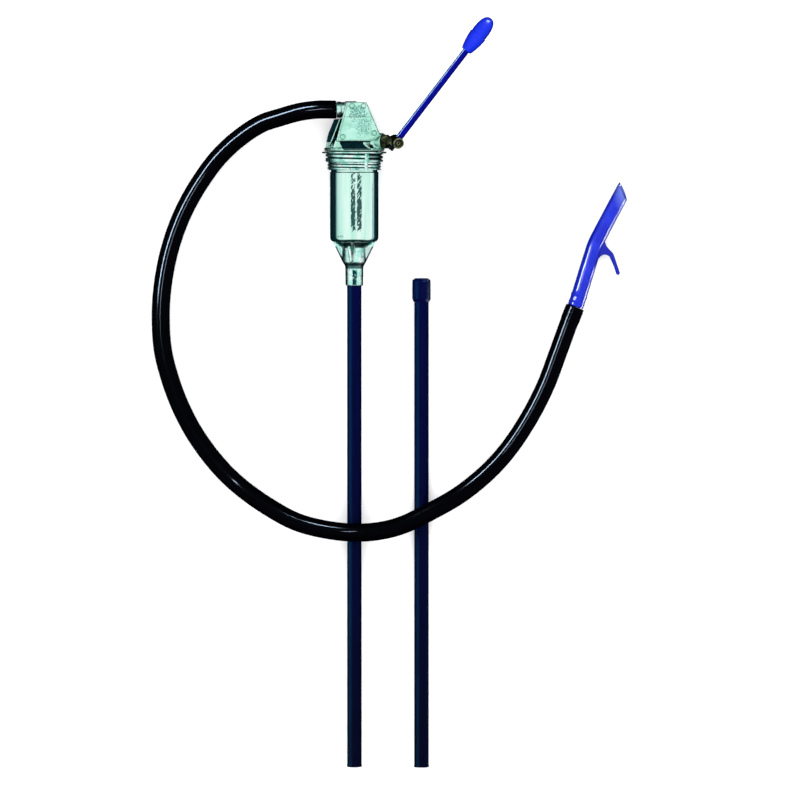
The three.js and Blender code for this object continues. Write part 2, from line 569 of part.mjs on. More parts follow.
function glandNut() {
  const body = shaftRing(SHAFT_RADIUS + HAIR, BUSH_RADIUS, GLAND_START, GLAND_END);
  const notches = [0, 1, 2].map((i) => {
    const notch = block([GLAND_END - 3, -1.3, -10], [GLAND_END + 1, 1.3, 10]);
    return moved(notch, new THREE.Matrix4().makeRotationX((Math.PI / 3) * i));
  });
  return less(body, ...notches);
}

// ---- Hand lever ------------------------------------------------------------------------------------
function handLever() {
  const top = fromKnuckle(leverAlong, GRIP_START + GRIP_BORE_DEPTH - 2);
  const plain = bar(LEVER_RADIUS, fromKnuckle(leverAlong, -7), top, 20);
  const tail = bar(TAIL_RADIUS, fromKnuckle(leverAlong, -LEVER_TAIL), fromKnuckle(leverAlong, 0), 16);
  return joined(plain, tail);
}

// The grip, turned about Y with its mouth at level 0.
function leverGrip() {
  const bore = LEVER_RADIUS + GAP;
  const swell = [[5.3, 0], [5.9, 0.6], [7.4, 8], [8.9, 15], [9.9, 20.4], [10, 22]];
  const dome = [[9.1, 23.4], [9.3, 28], [9.2, 33], [8.3, 38], [6.4, 42], [3.6, 44.8], [0, GRIP_LENGTH]];
  const body = turned([[0, GRIP_BORE_DEPTH], [bore, GRIP_BORE_DEPTH], [bore, 0], ...swell, ...dome], 20);
  const up = new THREE.Vector3(0, 1, 0);
  const turn = new THREE.Matrix4().makeRotationFromQuaternion(
    new THREE.Quaternion().setFromUnitVectors(up, leverAlong));
  return moved(body, turn.setPosition(...fromKnuckle(leverAlong, GRIP_START)));
}

function leverScrew() {
  const start = fromKnuckle(knuckleAlong, LEVER_RADIUS + GAP);
  const stem = bar(LEVER_SCREW_RADIUS, start, fromKnuckle(knuckleAlong, LEVER_SCREW_END), 16);
  const socket = bar(1.6, fromKnuckle(knuckleAlong, 5.6), fromKnuckle(knuckleAlong, 10), 6);
  return less(stem, socket);
}

add(pump, 'hand_lever', handLever(), leverBlue());
add(pump, 'lever_set_screw', leverScrew(), steel());
add(pump, 'lever_grip', leverGrip(), gripBlue());

// ---- Hose and spout ----------------------------------------------------------------------------------
const HOOK_BACK = 7.2;
const HOOK_FRONT = 12.2;

// The hook hangs from the spout's outer side, to hold it on the rim of a vessel.
function spoutHook() {
  const outline = [
    [266.5, -127], [273.5, -125.5], [280.8, -127.6], [287.6, -133.2], [292.4, -143],
    [296.4, -155.5], [297.4, -161.6], [294.8, -163.4], [291.6, -160.6], [288.2, -150.4],
    [284.6, -143.2], [280.2, -139], [275.8, -139.4], [271.4, -146.6], [266.5, -146],
  ];
  return plate(outline, HOOK_BACK, HOOK_FRONT);
}

function hookedSpout() {
  const [entryX, entryY, entryZ] = SPOUT_ROUTE[0];
  const outer = swept(SPOUT_ROUTE, SPOUT_RADIUS, 14, 9);
  const boreStart = [entryX - 1.6, entryY - 4.8, entryZ];
  const boreEnd = [309.9, -51.2, 8.9];
  const inner = swept([boreStart, ...SPOUT_ROUTE.slice(1, -1), boreEnd], SPOUT_BORE, 14, 9);
  const bead = bar(SPOUT_RADIUS + 0.9, [250.2, -188.6, 10.2], [251, -186, 10.2], 16);
  const mouth = new THREE.BoxGeometry(60, 60, 60);
  mouth.translate(30, 0, 0);
  mouth.rotateZ(THREE.MathUtils.degToRad(23));
  mouth.translate(300.9, -66.8, 9);
  const floor = block([200, -260, -20], [340, 0, 0.05]);
  return less(joined(outer, bead, spoutHook()), inner, solid(mouth), floor);
}

const loose = new THREE.Group();
add(loose, 'hose', swept(HOSE_ROUTE, HOSE_RADIUS, 8, 56), hoseBlack());
add(loose, 'spout', hookedSpout(), spoutBlue());

// ---- Extension tube with its coupling -----------------------------------------------------------------
const extension = new THREE.Group();
const extensionTilt = Math.atan((COUPLING_RADIUS - BEAD_RADIUS) / (COUPLING_BOTTOM - TUBE_END));
extension.rotation.x = extensionTilt;
extension.position.set(EXTENSION_X, 0,
  COUPLING_RADIUS * Math.cos(extensionTilt) - COUPLING_BOTTOM * Math.sin(extensionTilt));

const STOP_HALF = 0.8;

function extensionCoupling() {
  const socket = TUBE_RADIUS + GAP;
  const stop = 0.5 * (COUPLING_TOP + COUPLING_BOTTOM);
  return turned([
    [socket, COUPLING_TOP], [COUPLING_RADIUS - 0.9, COUPLING_TOP], [COUPLING_RADIUS, COUPLING_TOP - 1],
    [COUPLING_RADIUS, COUPLING_BOTTOM + 3.4], [COUPLING_RADIUS - 0.01, COUPLING_BOTTOM],
    [socket, COUPLING_BOTTOM], [socket, stop - STOP_HALF], [TUBE_BORE + 0.6, stop - STOP_HALF],
    [TUBE_BORE + 0.6, stop + STOP_HALF], [socket, stop + STOP_HALF],
  ], 20);
}

add(extension, 'extension_coupling', extensionCoupling(), tubeNavy());
const extensionTop = 0.5 * (COUPLING_TOP + COUPLING_BOTTOM) - STOP_HALF - GAP;
add(extension, 'extension_tube', tube(extensionTop, TUBE_END, BEAD_RADIUS), tubeNavy());

const drumPump = new THREE.Group();
drumPump.add(pump, extension, loose);

export default drumPump;
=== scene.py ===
"""Looks of the lever-operated drum pump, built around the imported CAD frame. Metres, +Z up."""
import json
import math

import bmesh
import bpy
from mathutils import Matrix, Vector, noise


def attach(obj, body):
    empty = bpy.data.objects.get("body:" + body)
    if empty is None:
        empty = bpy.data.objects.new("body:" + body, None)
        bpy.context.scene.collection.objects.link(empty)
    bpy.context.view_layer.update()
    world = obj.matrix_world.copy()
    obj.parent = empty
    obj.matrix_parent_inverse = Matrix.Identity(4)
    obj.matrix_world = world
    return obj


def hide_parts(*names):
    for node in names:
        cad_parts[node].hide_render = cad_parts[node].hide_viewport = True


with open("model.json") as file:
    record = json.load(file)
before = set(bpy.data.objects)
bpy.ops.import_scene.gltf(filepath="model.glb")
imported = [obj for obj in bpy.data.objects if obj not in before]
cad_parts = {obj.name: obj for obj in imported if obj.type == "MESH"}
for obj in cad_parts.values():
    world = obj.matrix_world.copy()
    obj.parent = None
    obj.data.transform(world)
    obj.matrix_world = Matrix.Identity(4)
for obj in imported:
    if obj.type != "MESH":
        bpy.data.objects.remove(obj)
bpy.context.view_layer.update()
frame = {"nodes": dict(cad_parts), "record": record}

MM = 0.001
BEHAVIOUR = frame["record"]["behaviour"]
JOINTS = {joint["name"]: joint for joint in BEHAVIOUR["joints"]}
SLOT_OF = {part["node"]: part["material_slot"] for part in frame["record"]["subparts"]}

# ---- Frames of the pump, worked out from its joints ----------------------------------------------
SHAFT_LEVEL = -14.2  # mm along the pump axis, as is OUTLET_LEVEL
OUTLET_LEVEL = 21.3
KNUCKLE_AT = 52  # mm along the shaft
KNUCKLE_TILT = math.radians(27)
LEVER_LEAN = math.radians(37.6)

pump_axis = Vector(JOINTS["piston_slide"]["axis"])
shaft_point = Vector(JOINTS["lever_swing"]["pos_m"])
shaft_axis = Vector(JOINTS["lever_swing"]["axis"])
TILT = math.atan2(pump_axis.z, pump_axis.y)
SHAFT_LEAN = math.asin(shaft_axis.z / math.cos(TILT))


def turn(degrees, axis):
    """A rotation about one of the axes."""
    return Matrix.Rotation(math.radians(degrees), 4, axis)


def shift(x, y, z):
    """A move given in millimetres."""
    return Matrix.Translation((x * MM, y * MM, z * MM))


PUMP = Matrix.Translation((0, 0, shaft_point.z - SHAFT_LEVEL * MM * math.sin(TILT)))
PUMP = PUMP @ Matrix.Rotation(TILT, 4, "X")
SHAFT = PUMP @ shift(0, SHAFT_LEVEL, 0) @ Matrix.Rotation(-SHAFT_LEAN, 4, "Y")
ALONG_SHAFT = SHAFT @ turn(-90, "Z")  # its Y runs out along the shaft
LEVER = Matrix.Translation(SHAFT @ Vector((KNUCKLE_AT * MM, 0, 0)))
LEVER = LEVER @ Matrix.Rotation(TILT, 4, "X") @ Matrix.Rotation(-LEVER_LEAN, 4, "Z")
KNUCKLE = LEVER @ Matrix.Rotation(KNUCKLE_TILT, 4, "Y") @ turn(90, "X")
OUTLET = PUMP @ shift(0, OUTLET_LEVEL, 0) @ turn(90, "Z")  # its Y runs out of the nozzle

WORLD = Matrix.Identity(4)

# ---- Dimensions repeated from the CAD part, in millimetres ---------------------------------------
HOUSING_FRONT = 22
GASKET_THICKNESS = 0.8
GAP = 0.3
COVER_THICKNESS = 5
COVER_STEP = 13.1
COVER_FRONT = HOUSING_FRONT + GASKET_THICKNESS + 2 * GAP + COVER_THICKNESS
FLANGE_RADIUS = 36
FLANGE_TOP = -25.6
COLLAR_END = -46
DRUM_THREAD = 32
DRUM_DEPTH = 2.2
DRUM_PITCH = 4.4
PIPE_THREAD = 29.8
PIPE_DEPTH = 1.5
PIPE_PITCH = 3.4
LAND_TURN = math.radians(28)
LAND_HALF = math.radians(3.4)
LAND_RADIUS = 28.2
BARREL_RADIUS = 27
BORE_RADIUS = 24
NECK_RADIUS = 26.2
BARREL_END = -125.3
CUP_RADIUS = 13.3
SPIGOT_RADIUS = 9.85
SPIGOT_END = -175
TUBE_RADIUS = 8.05
TUBE_BORE = 6.2
BEAD_RADIUS = 8.4
TUBE_END = -713.4
EXTENSION_X = 75
COUPLING_TOP = -165
COUPLING_BOTTOM = -192.6
COUPLING_RADIUS = 10.3
HOSE_RADIUS = 10.2
HOSE_BORE = 7.0
SPOUT_RADIUS = 8.75
SPOUT_BORE = 7.1
MOUTH_AT = Vector((300.9, -66.8, 9))
MOUTH_SLOPE = math.radians(23)
MOUTH_RISE = math.radians(12)
MOUTH_TRIM = 1.2
LEVER_RADIUS = 3.9
GRIP_START = 127.1
GRIP_BORE = 4.15
LEVER_END = 152.6

EXTENSION_TILT = math.atan((COUPLING_RADIUS - BEAD_RADIUS) / (COUPLING_BOTTOM - TUBE_END))
EXTENSION = shift(
    EXTENSION_X, 0,
    COUPLING_RADIUS * math.cos(EXTENSION_TILT) - COUPLING_BOTTOM * math.sin(EXTENSION_TILT),
) @ Matrix.Rotation(EXTENSION_TILT, 4, "X")

HOSE_ROUTE = [
    (-0.020, 0.0213, 0.0379), (-0.041, 0.0213, 0.0376), (-0.061, 0.0188, 0.0356),
    (-0.0825, 0.013, 0.0318), (-0.103, 0.0064, 0.027), (-0.1272, -0.0087, 0.0206),
    (-0.1519, -0.0311, 0.0142), (-0.1758, -0.0638, 0.0108), (-0.1932, -0.0963, 0.0103),
    (-0.205, -0.1286, 0.0103), (-0.2124, -0.1607, 0.0103), (-0.2165, -0.1994, 0.0103),
    (-0.2148, -0.243, 0.0103), (-0.2092, -0.2686, 0.0103), (-0.1975, -0.3028, 0.0103),
    (-0.180, -0.3378, 0.0104), (-0.1551, -0.3722, 0.0108), (-0.1296, -0.3977, 0.0126),
    (-0.0928, -0.4237, 0.0196), (-0.058, -0.4407, 0.0288), (0, -0.4502, 0.0383),
    (0.0454, -0.4446, 0.034), (0.0912, -0.4236, 0.0272), (0.1204, -0.4063, 0.0205),
    (0.1515, -0.3806, 0.014), (0.1744, -0.3545, 0.011), (0.1969, -0.3199, 0.0103),
    (0.2144, -0.285, 0.0103), (0.2277, -0.2496, 0.0103), (0.2389, -0.2189, 0.0103),
    (0.2469, -0.1984, 0.0103),
]
SPOUT_ROUTE = [
    (0.24705, -0.19795, 0.0102), (0.2506, -0.1878, 0.0101), (0.264, -0.1445, 0.0095),
    (0.2692, -0.1286, 0.0093), (0.276, -0.1148, 0.0092), (0.3085, -0.0538, 0.0089),
]


# ---- Camera: straight above, as the photograph looks at the pump ---------------------------------
def make_camera():
    distance, width = 8.0, 0.896
    data = bpy.data.cameras.new("camera")
    data.sensor_width = 36
    data.lens = data.sensor_width * distance / width
    data.clip_end = 50
    camera = bpy.data.objects.new("camera", data)
    camera.location = (0.051, -0.3024, distance)
    bpy.context.scene.collection.objects.link(camera)
    bpy.context.scene.camera = camera


make_camera()


def clamp(value):
    """The value kept between 0 and 1."""
    return min(max(value, 0), 1)


def wrapped(angle):
    """The same angle between -pi and pi."""
    return (angle + math.pi) % (2 * math.pi) - math.pi


# ---- Mesh helpers --------------------------------------------------------------------------------
def new_object(name, verts, faces, sharp=32.0):
    """A smooth mesh with its edges kept sharp above an angle in degrees."""
    mesh = bpy.data.meshes.new(name)
    mesh.from_pydata([tuple(v) for v in verts], [], faces)
    work = bmesh.new()
    work.from_mesh(mesh)
    bmesh.ops.remove_doubles(work, verts=work.verts, dist=2e-6)
    bmesh.ops.recalc_face_normals(work, faces=work.faces)
    work.to_mesh(mesh)
    work.free()
    mesh.shade_smooth()
    mesh.set_sharp_from_angle(angle=math.radians(sharp))
    piece = bpy.data.objects.new(name, mesh)
    bpy.context.scene.collection.objects.link(piece)
    return piece


def rounded(profile, radius, steps=4):
    """A closed outline with its corners turned into arcs. A point may carry its own radius."""
    result = []
    count = len(profile)
    for i, point in enumerate(profile):
        here = Vector(point[:2])
        size = point[2] if len(point) > 2 else radius
        before = Vector(profile[i - 1][:2]) - here
        after = Vector(profile[(i + 1) % count][:2]) - here
        if size <= 0 or before.length < 1e-9 or after.length < 1e-9:
            result.append(here)
            continue
        angle = before.angle(after)
        if angle > math.radians(172):
            result.append(here)
            continue
        reach = min(size / math.tan(angle / 2), 0.48 * before.length, 0.48 * after.length)
        start, end = here + before.normalized() * reach, here + after.normalized() * reach
        for step in range(steps + 1):
            t = step / steps
            result.append(start.lerp(here, t).lerp(here.lerp(end, t), t))
    return result


def lathe_mesh(profile, place, segments, shape=None):
    """Vertices and faces of a closed outline of (radius, level) in mm, revolved about Y."""
    verts, faces = [], []
    rows = len(profile)
    for i in range(segments):
        angle = 2 * math.pi * i / segments
        for radius, level in profile:
            r = shape(radius, level, angle) if shape else radius
            point = Vector((r * math.sin(angle), level, r * math.cos(angle)))
            verts.append(place @ (point * MM))
    for i in range(segments):
        a, b = i * rows, ((i + 1) % segments) * rows
        for j in range(rows):
            k = (j + 1) % rows
            faces.append((a + j, b + j, b + k, a + k))
    return verts, faces


def lathe(name, profile, place, segments=96, shape=None, sharp=32.0):
    """An object revolved about Y. shape(radius, level, angle) may change a radius."""
    return new_object(name, *lathe_mesh(profile, place, segments, shape), sharp)


def smooth_route(points, per_span=20):
    """Centripetal Catmull-Rom curve through the points, as three.js draws it, in mm."""
    points = [Vector(p) / MM for p in points]
    points = [points[0] * 2 - points[1], *points, points[-1] * 2 - points[-2]]
    line = []
    for i in range(1, len(points) - 2):
        p0, p1, p2, p3 = points[i - 1:i + 3]
        t0, t1, t2 = (max((b - a).length ** 0.5, 1e-6) for a, b in ((p0, p1), (p1, p2), (p2, p3)))
        m1 = ((p1 - p0) / t0 - (p2 - p0) / (t0 + t1) + (p2 - p1) / t1) * t1
        m2 = ((p2 - p1) / t1 - (p3 - p1) / (t1 + t2) + (p3 - p2) / t2) * t1
        for step in range(per_span):
            t = step / per_span
            line.append(
                p1 * (2 * t ** 3 - 3 * t ** 2 + 1) + m1 * (t ** 3 - 2 * t ** 2 + t)
                + p2 * (3 * t ** 2 - 2 * t ** 3) + m2 * (t ** 3 - t ** 2)
            )
    line.append(points[-2])
    return line


def hollow_tube(name, line, outer, inner, segments=48, lip=0.6):
    """A tube along a line in mm. outer(s, left) gives its radius at s mm, with left mm still to go."""
    runs = [0.0]
    for a, b in zip(line, line[1:]):
        runs.append(runs[-1] + (b - a).length)
    total = runs[-1]
    last = len(line) - 1
    tangents = [(line[min(i + 1, last)] - line[max(i - 1, 0)]).normalized() for i in range(last + 1)]
    side = Vector((0, 0, 1))
    outside, inside = [], []
    for i, (centre, tangent, s) in enumerate(zip(line, tangents, runs)):
        side = (side - tangent * side.dot(tangent)).normalized()
        across = tangent.cross(side)
        edge = min(s, total - s)
        cut = lip * (1 - math.sqrt(max(0.0, 1 - (1 - edge / lip) ** 2))) if edge < lip else 0
        for ring, radius in ((outside, outer(s, total - s) - cut), (inside, inner)):
            ring.append([
                (centre + (side * math.cos(a) + across * math.sin(a)) * radius) * MM
                for a in (2 * math.pi * j / segments for j in range(segments))
            ])
    rings = outside + inside[::-1]
    verts = [v for ring in rings for v in ring]
    count = len(rings)
    faces = []
    for i in range(count):
        a, b = i * segments, ((i + 1) % count) * segments
        for j in range(segments):
            k = (j + 1) % segments
            faces.append((a + j, a + k, b + k, b + j))
    return new_object(name, verts, faces)


def plate_mesh(outline, back, front, place=WORLD):
    """A flat plate with an outline in X and Y between two depths, in mm."""
    count = len(outline)
    verts = [place @ Vector((x * MM, y * MM, z * MM)) for z in (back, front) for x, y in outline]
    faces = [tuple(range(count))[::-1], tuple(range(count, 2 * count))]
    faces += [(i, (i + 1) % count, count + (i + 1) % count, count + i) for i in range(count)]
    return verts, faces


def applied(piece, modifier_type, **settings):
    """Adds a modifier and makes its result the mesh."""
    modifier = piece.modifiers.new(modifier_type.lower(), modifier_type)
    for key, value in settings.items():
        setattr(modifier, key, value)
    depsgraph = bpy.context.evaluated_depsgraph_get()
    mesh = bpy.data.meshes.new_from_object(piece.evaluated_get(depsgraph))
    piece.modifiers.clear()
    piece.data = mesh
    return piece


def melted(piece, voxel, smoothing):
    """Joins what overlaps in the mesh and rounds its edges, as a casting has."""
    applied(piece, "REMESH", mode="VOXEL", voxel_size=voxel * MM, adaptivity=0.0)
    applied(piece, "SMOOTH", factor=0.5, iterations=smoothing)
    piece.data.shade_smooth()
    return piece


def fused(name, meshes, voxel, smoothing):
    """One casting made of several overlapping solids."""
    verts, faces = [], []
    for some_verts, some_faces in meshes:
        start = len(verts)
        verts += some_verts
        faces += [tuple(start + i for i in face) for face in some_faces]
    mesh = bpy.data.meshes.new(name)
    mesh.from_pydata([tuple(v) for v in verts], [], faces)
    piece = bpy.data.objects.new(name, mesh)
    bpy.context.scene.collection.objects.link(piece)
    return melted(piece, voxel, smoothing)


def softened(node, name, voxel, smoothing):
    """A copy of a CAD node with rounded edges."""
    piece = bpy.data.objects.new(name, frame["nodes"][node].data.copy())
    piece.data.materials.clear()
    bpy.context.scene.collection.objects.link(piece)
    return melted(piece, voxel, smoothing)


def grained(piece, depth, size):
    """Moves the vertices along their normals by a little noise, in mm."""
    mesh = piece.data
    normals = [v.normal.copy() for v in mesh.vertices]
    for vertex, normal in zip(mesh.vertices, normals):
        vertex.co += normal * (noise.fractal(vertex.co / (size * MM), 0.8, 2.0, 3) * depth * MM)
    return piece


def marked(piece, name, place, value):
    """Stores value(point in mm, normal) on every vertex, both in the frame given by place."""
    back = place.inverted()
    turn_only = back.to_3x3()
    mesh = piece.data
    mask = mesh.attributes.new(name, "FLOAT", "POINT")
    values = [value(back @ v.co / MM, turn_only @ v.normal) for v in mesh.vertices]
    mask.data.foreach_set("value", values)
    return piece


def rim(point, normal):
    """Painted shade: how dark a moulded part is painted where its wall turns away from the front."""
    return clamp((0.6 - normal.z) / 0.35) * 0.95


def cut_off(piece, point, normal):
    """Cuts a hollow tube with a plane and closes its wall, all in metres."""
    work = bmesh.new()
    work.from_mesh(piece.data)
    geometry = work.verts[:] + work.edges[:] + work.faces[:]
    bmesh.ops.bisect_plane(work, geom=geometry, plane_co=point, plane_no=normal, clear_outer=True)
    rim = [edge for edge in work.edges if edge.is_boundary]
    bmesh.ops.bridge_loops(work, edges=rim)
    bmesh.ops.recalc_face_normals(work, faces=work.faces)
    work.to_mesh(piece.data)
    work.free()
    piece.data.shade_smooth()
    piece.data.set_sharp_from_angle(angle=math.radians(32))
    return piece


def thread(major, depth, pitch, start=0.0, crest=0.14):
    """Radius of a screw thread at a level and an angle, with a root at the start level in front."""
    def radius(level, angle):
        part = ((level - start) / pitch + angle / (2 * math.pi)) % 1.0
        rise = abs(2 * part - 1)
        return major - depth * clamp((rise - crest) / (0.9 - crest))
    return radius


def hexagon(radius, angle):
    """Radius at an angle of a hexagon with that corner radius."""
    return radius * math.cos(math.pi / 6) / math.cos((angle % (math.pi / 3)) - math.pi / 6)


def levels(top, bottom, step):
    """Evenly spaced levels from top to bottom, about a step apart."""
    count = max(1, round((top - bottom) / step))
    return [top - (top - bottom) * i / count for i in range(count + 1)]


# ---- Material helpers ----------------------------------------------------------------------------
class Finish:
    """A Principled material with a few procedural layers, all in object space."""

    def __init__(self, name, colour, roughness, metallic=0.0, sockets=None):
        self.material = bpy.data.materials.new(name)
        self.material.use_nodes = True
        self.tree = self.material.node_tree
        self.shader = self.tree.nodes["Principled BSDF"]
        settings = {"Base Color": (*colour, 1), "Roughness": roughness, "Metallic": metallic}
        for socket, value in {**settings, **(sockets or {})}.items():
            self.shader.inputs[socket].default_value = value
        self.place = self.tree.nodes.new("ShaderNodeTexCoord").outputs["Object"]
        self.height = None

    def stretched(self, scale, rotation=(0, 0, 0)):
        mapping = self.tree.nodes.new("ShaderNodeMapping")
        mapping.vector_type = "TEXTURE"
        mapping.inputs["Rotation"].default_value = rotation
        mapping.inputs["Scale"].default_value = [1 / factor for factor in scale]
        self.tree.links.new(self.place, mapping.inputs["Vector"])
        return mapping.outputs["Vector"]

    def noise(
        self, scale, detail=4.0, rough=0.55, stretch=(1, 1, 1), distortion=0.0, rotation=(0, 0, 0),
    ):
        node = self.tree.nodes.new("ShaderNodeTexNoise")
        node.inputs["Scale"].default_value = scale
        node.inputs["Detail"].default_value = detail
        node.inputs["Roughness"].default_value = rough
        node.inputs["Distortion"].default_value = distortion
        self.tree.links.new(self.stretched(stretch, rotation), node.inputs["Vector"])
        return node.outputs["Fac"]

    def cells(self, scale):
        node = self.tree.nodes.new("ShaderNodeTexVoronoi")
        node.inputs["Scale"].default_value = scale
        self.tree.links.new(self.place, node.inputs["Vector"])
        return node.outputs["Distance"]

    def attribute(self, name):
        node = self.tree.nodes.new("ShaderNodeAttribute")
        node.attribute_name = name
        return node.outputs["Fac"]

    def ramp(self, factor, *stops):
        node = self.tree.nodes.new("ShaderNodeValToRGB")
        ramp = node.color_ramp
        while len(ramp.elements) < len(stops):
            ramp.elements.new(1.0)
        for element, (position, colour) in zip(ramp.elements, stops):
            element.position = position
            element.color = (*colour, 1) if isinstance(colour, tuple) else (colour, colour, colour, 1)
        self.tree.links.new(factor, node.inputs["Fac"])
        return node.outputs["Color"]

    def summed(self, first, second, weight):
        """first + weight * second"""
        node = self.tree.nodes.new("ShaderNodeMath")
        node.operation = "MULTIPLY_ADD"
        self.tree.links.new(second, node.inputs[0])
        node.inputs[1].default_value = weight
        self.tree.links.new(first, node.inputs[2])
        return node.outputs["Value"]

    def mixed(self, factor, first, second, blend="MIX"):
        node = self.tree.nodes.new("ShaderNodeMix")
        node.data_type = "RGBA"
        node.blend_type = blend
        for index, value in ((0, factor), (6, first), (7, second)):
            socket = node.inputs[index]
            if isinstance(value, tuple):
                socket.default_value = (*value, 1)
            elif isinstance(value, (int, float)):
                socket.default_value = value
            else:
                self.tree.links.new(value, socket)
        return node.outputs[2]

    def colour(self, output):
        self.tree.links.new(output, self.shader.inputs["Base Color"])
        return self

    def roughness(self, factor, low, high):
        node = self.tree.nodes.new("ShaderNodeMapRange")
        node.inputs["To Min"].default_value = low
        node.inputs["To Max"].default_value = high
        self.tree.links.new(factor, node.inputs["Value"])
        self.tree.links.new(node.outputs["Result"], self.shader.inputs["Roughness"])
        return self

    def bump(self, factor, strength, distance):
        node = self.tree.nodes.new("ShaderNodeBump")
        node.inputs["Strength"].default_value = strength
        node.inputs["Distance"].default_value = distance * MM
        self.tree.links.new(factor, node.inputs["Height"])
        if self.height is not None:
            self.tree.links.new(self.height, node.inputs["Normal"])
        self.height = node.outputs["Normal"]
        self.tree.links.new(self.height, self.shader.inputs["Normal"])
        return self


DARK_EDGE = {"Specular Tint": (0.03, 0.16, 0.16, 1)}


def cast_metal(name="cast_metal", with_painted_light=False, grain_patches=False):
    """Die-cast alloy: pale mint, with a granular skin and darker grains gathered in clusters."""
    finish = Finish(name, (0.46, 0.84, 0.70), 0.34, 1.0, DARK_EDGE)
    body = finish.ramp(finish.noise(60, 4), (0.32, (0.34, 0.70, 0.56)), (0.5, (0.47, 0.86, 0.72)),
                       (0.7, (0.66, 0.95, 0.86)))
    grains = finish.noise(640, 3, 0.75)
    if grain_patches:
        # The mask thickens the dark grains in patches and paints a shade line along the step.
        level = finish.summed(grains, finish.attribute("pits"), 0.34)
        dark = finish.ramp(level, (0.72, 0.0), (0.84, 0.85))
    else:
        clusters = finish.noise(110, 3)
        dark = finish.ramp(finish.summed(grains, clusters, 0.5), (0.84, 0.0), (0.94, 0.8))
    skin = finish.mixed(dark, body, (0.035, 0.20, 0.19))
    # Painted light and shade: faces in the mask keep the lit skin, the rest gets a near-black painted
    # shade.
    if with_painted_light:
        shade_colour = finish.ramp(finish.noise(240, 5, 0.65), (0.35, (0.001, 0.012, 0.018)),
                          (0.7, (0.005, 0.034, 0.043)))
        skin = finish.mixed(finish.attribute("raised"), shade_colour, skin)
    finish.colour(skin)
    finish.roughness(finish.noise(300, 4), 0.28, 0.48)
    finish.bump(finish.noise(520, 5, 0.65), 0.5, 0.35)
    return finish.bump(finish.cells(900), 0.2, 0.15).material


def machined_metal(name="machined_metal", shade_painted=False):
    """The same alloy, turned: bright, with fine rings from the tool; with the mask, painted shade and
    painted dark reflections darken its grooves and sides.
    """
    finish = Finish(name, (0.6, 0.86, 0.78), 0.24, 1.0, DARK_EDGE)
    skin = finish.ramp(finish.noise(130, 4), (0.3, (0.24, 0.66, 0.57)), (0.46, (0.54, 0.94, 0.84)),
                       (0.66, (0.94, 1.0, 0.98)))
    streaks = finish.ramp(finish.noise(340, 4, 0.7, (0.5, 1, 0.5)), (0.56, 0.0), (0.68, 0.8))
    skin = finish.mixed(streaks, skin, (0.03, 0.20, 0.19))
    if shade_painted:
        # Painted shade and painted reflections: the mask paints grooves, steps, edges and shaded sides
        # near-black.
        soil = finish.ramp(finish.attribute("soil"), (0.55, 0.0), (0.9, 1.0))
        skin = finish.mixed(soil, skin, (0.004, 0.045, 0.055))
    finish.colour(skin)
    finish.roughness(finish.noise(240, 4), 0.18, 0.38)
    finish.bump(finish.noise(300, 3), 0.25, 0.2)
    return finish.bump(finish.noise(1500, 2, 0.5, (0.02, 1, 0.02)), 0.08, 0.06).material


def turned_metal():
    """Bright drawn alloy with long streaks, and a painted dark reflection in diagonal streaks down the
    middle of its front.
    """
    finish = Finish("turned_metal", (0.66, 0.95, 0.85), 0.12, 1.0, DARK_EDGE)
    streaks = finish.noise(200, 4, 0.6, (1, 0.06, 1))
    skin = finish.ramp(streaks, (0.3, (0.50, 0.86, 0.74)), (0.5, (0.64, 0.95, 0.84)),
                       (0.72, (0.82, 0.98, 0.93)))
    # Painted reflection: dark diagonal streaks where the mask is high.
    smears = finish.noise(640, 3, 0.6, (1, 0.3, 1), 0.5, (0, 0, -0.55))
    smears = finish.summed(smears, finish.attribute("smears"), 0.54)
    dark = finish.ramp(smears, (0.88, 0.0), (0.94, 0.95))
    finish.colour(finish.mixed(dark, skin, (0.004, 0.06, 0.065)))
    finish.roughness(finish.noise(180, 4, 0.6, (1, 0.15, 1)), 0.06, 0.18)
    finish.bump(finish.noise(110, 2, 0.6, (1, 0.2, 1)), 0.2, 0.2)
    return finish.bump(finish.noise(1500, 2, 0.5, (0.02, 1, 0.02)), 0.05, 0.05).material


def plated_steel():
    """Grey-green plating with a fine grain."""
    finish = Finish("plated_steel", (0.55, 0.60, 0.60), 0.28, 1.0)
    plating = finish.noise(240, 4)
    finish.colour(finish.ramp(plating, (0.3, (0.36, 0.46, 0.45)), (0.7, (0.75, 0.88, 0.84))))
    finish.roughness(finish.noise(500, 3), 0.2, 0.42)
    return finish.bump(finish.noise(1400, 3), 0.15, 0.05).material


def oiled_steel(name="oiled_steel", face_highlighted=False):
    """Dark olive phosphated steel; with the mask, a painted highlight brightens the end faces."""
    finish = Finish(name, (0.12, 0.12, 0.07), 0.34, 0.9, {"Specular Tint": (0.05, 0.05, 0.04, 1)})
    patches = finish.noise(150, 5)
    if face_highlighted:
        patches = finish.summed(patches, finish.attribute("worn"), 0.22)
    finish.colour(finish.ramp(patches, (0.32, (0.004, 0.006, 0.003)), (0.52, (0.05, 0.06, 0.03)),
                              (0.72, (0.30, 0.33, 0.20))))
    finish.roughness(finish.noise(400, 4), 0.22, 0.45)
    return finish.bump(finish.noise(900, 4), 0.3, 0.1).material


def bronze():
    """Brown bearing bronze, slightly uneven in tone."""
    finish = Finish("bronze", (0.6, 0.4, 0.2), 0.35, 1.0)
    finish.colour(finish.ramp(finish.noise(200, 4), (0.3, (0.42, 0.26, 0.11)), (0.7, (0.72, 0.5, 0.26))))
    finish.roughness(finish.noise(500, 3), 0.26, 0.46)
    return finish.bump(finish.noise(1200, 3), 0.15, 0.06).material


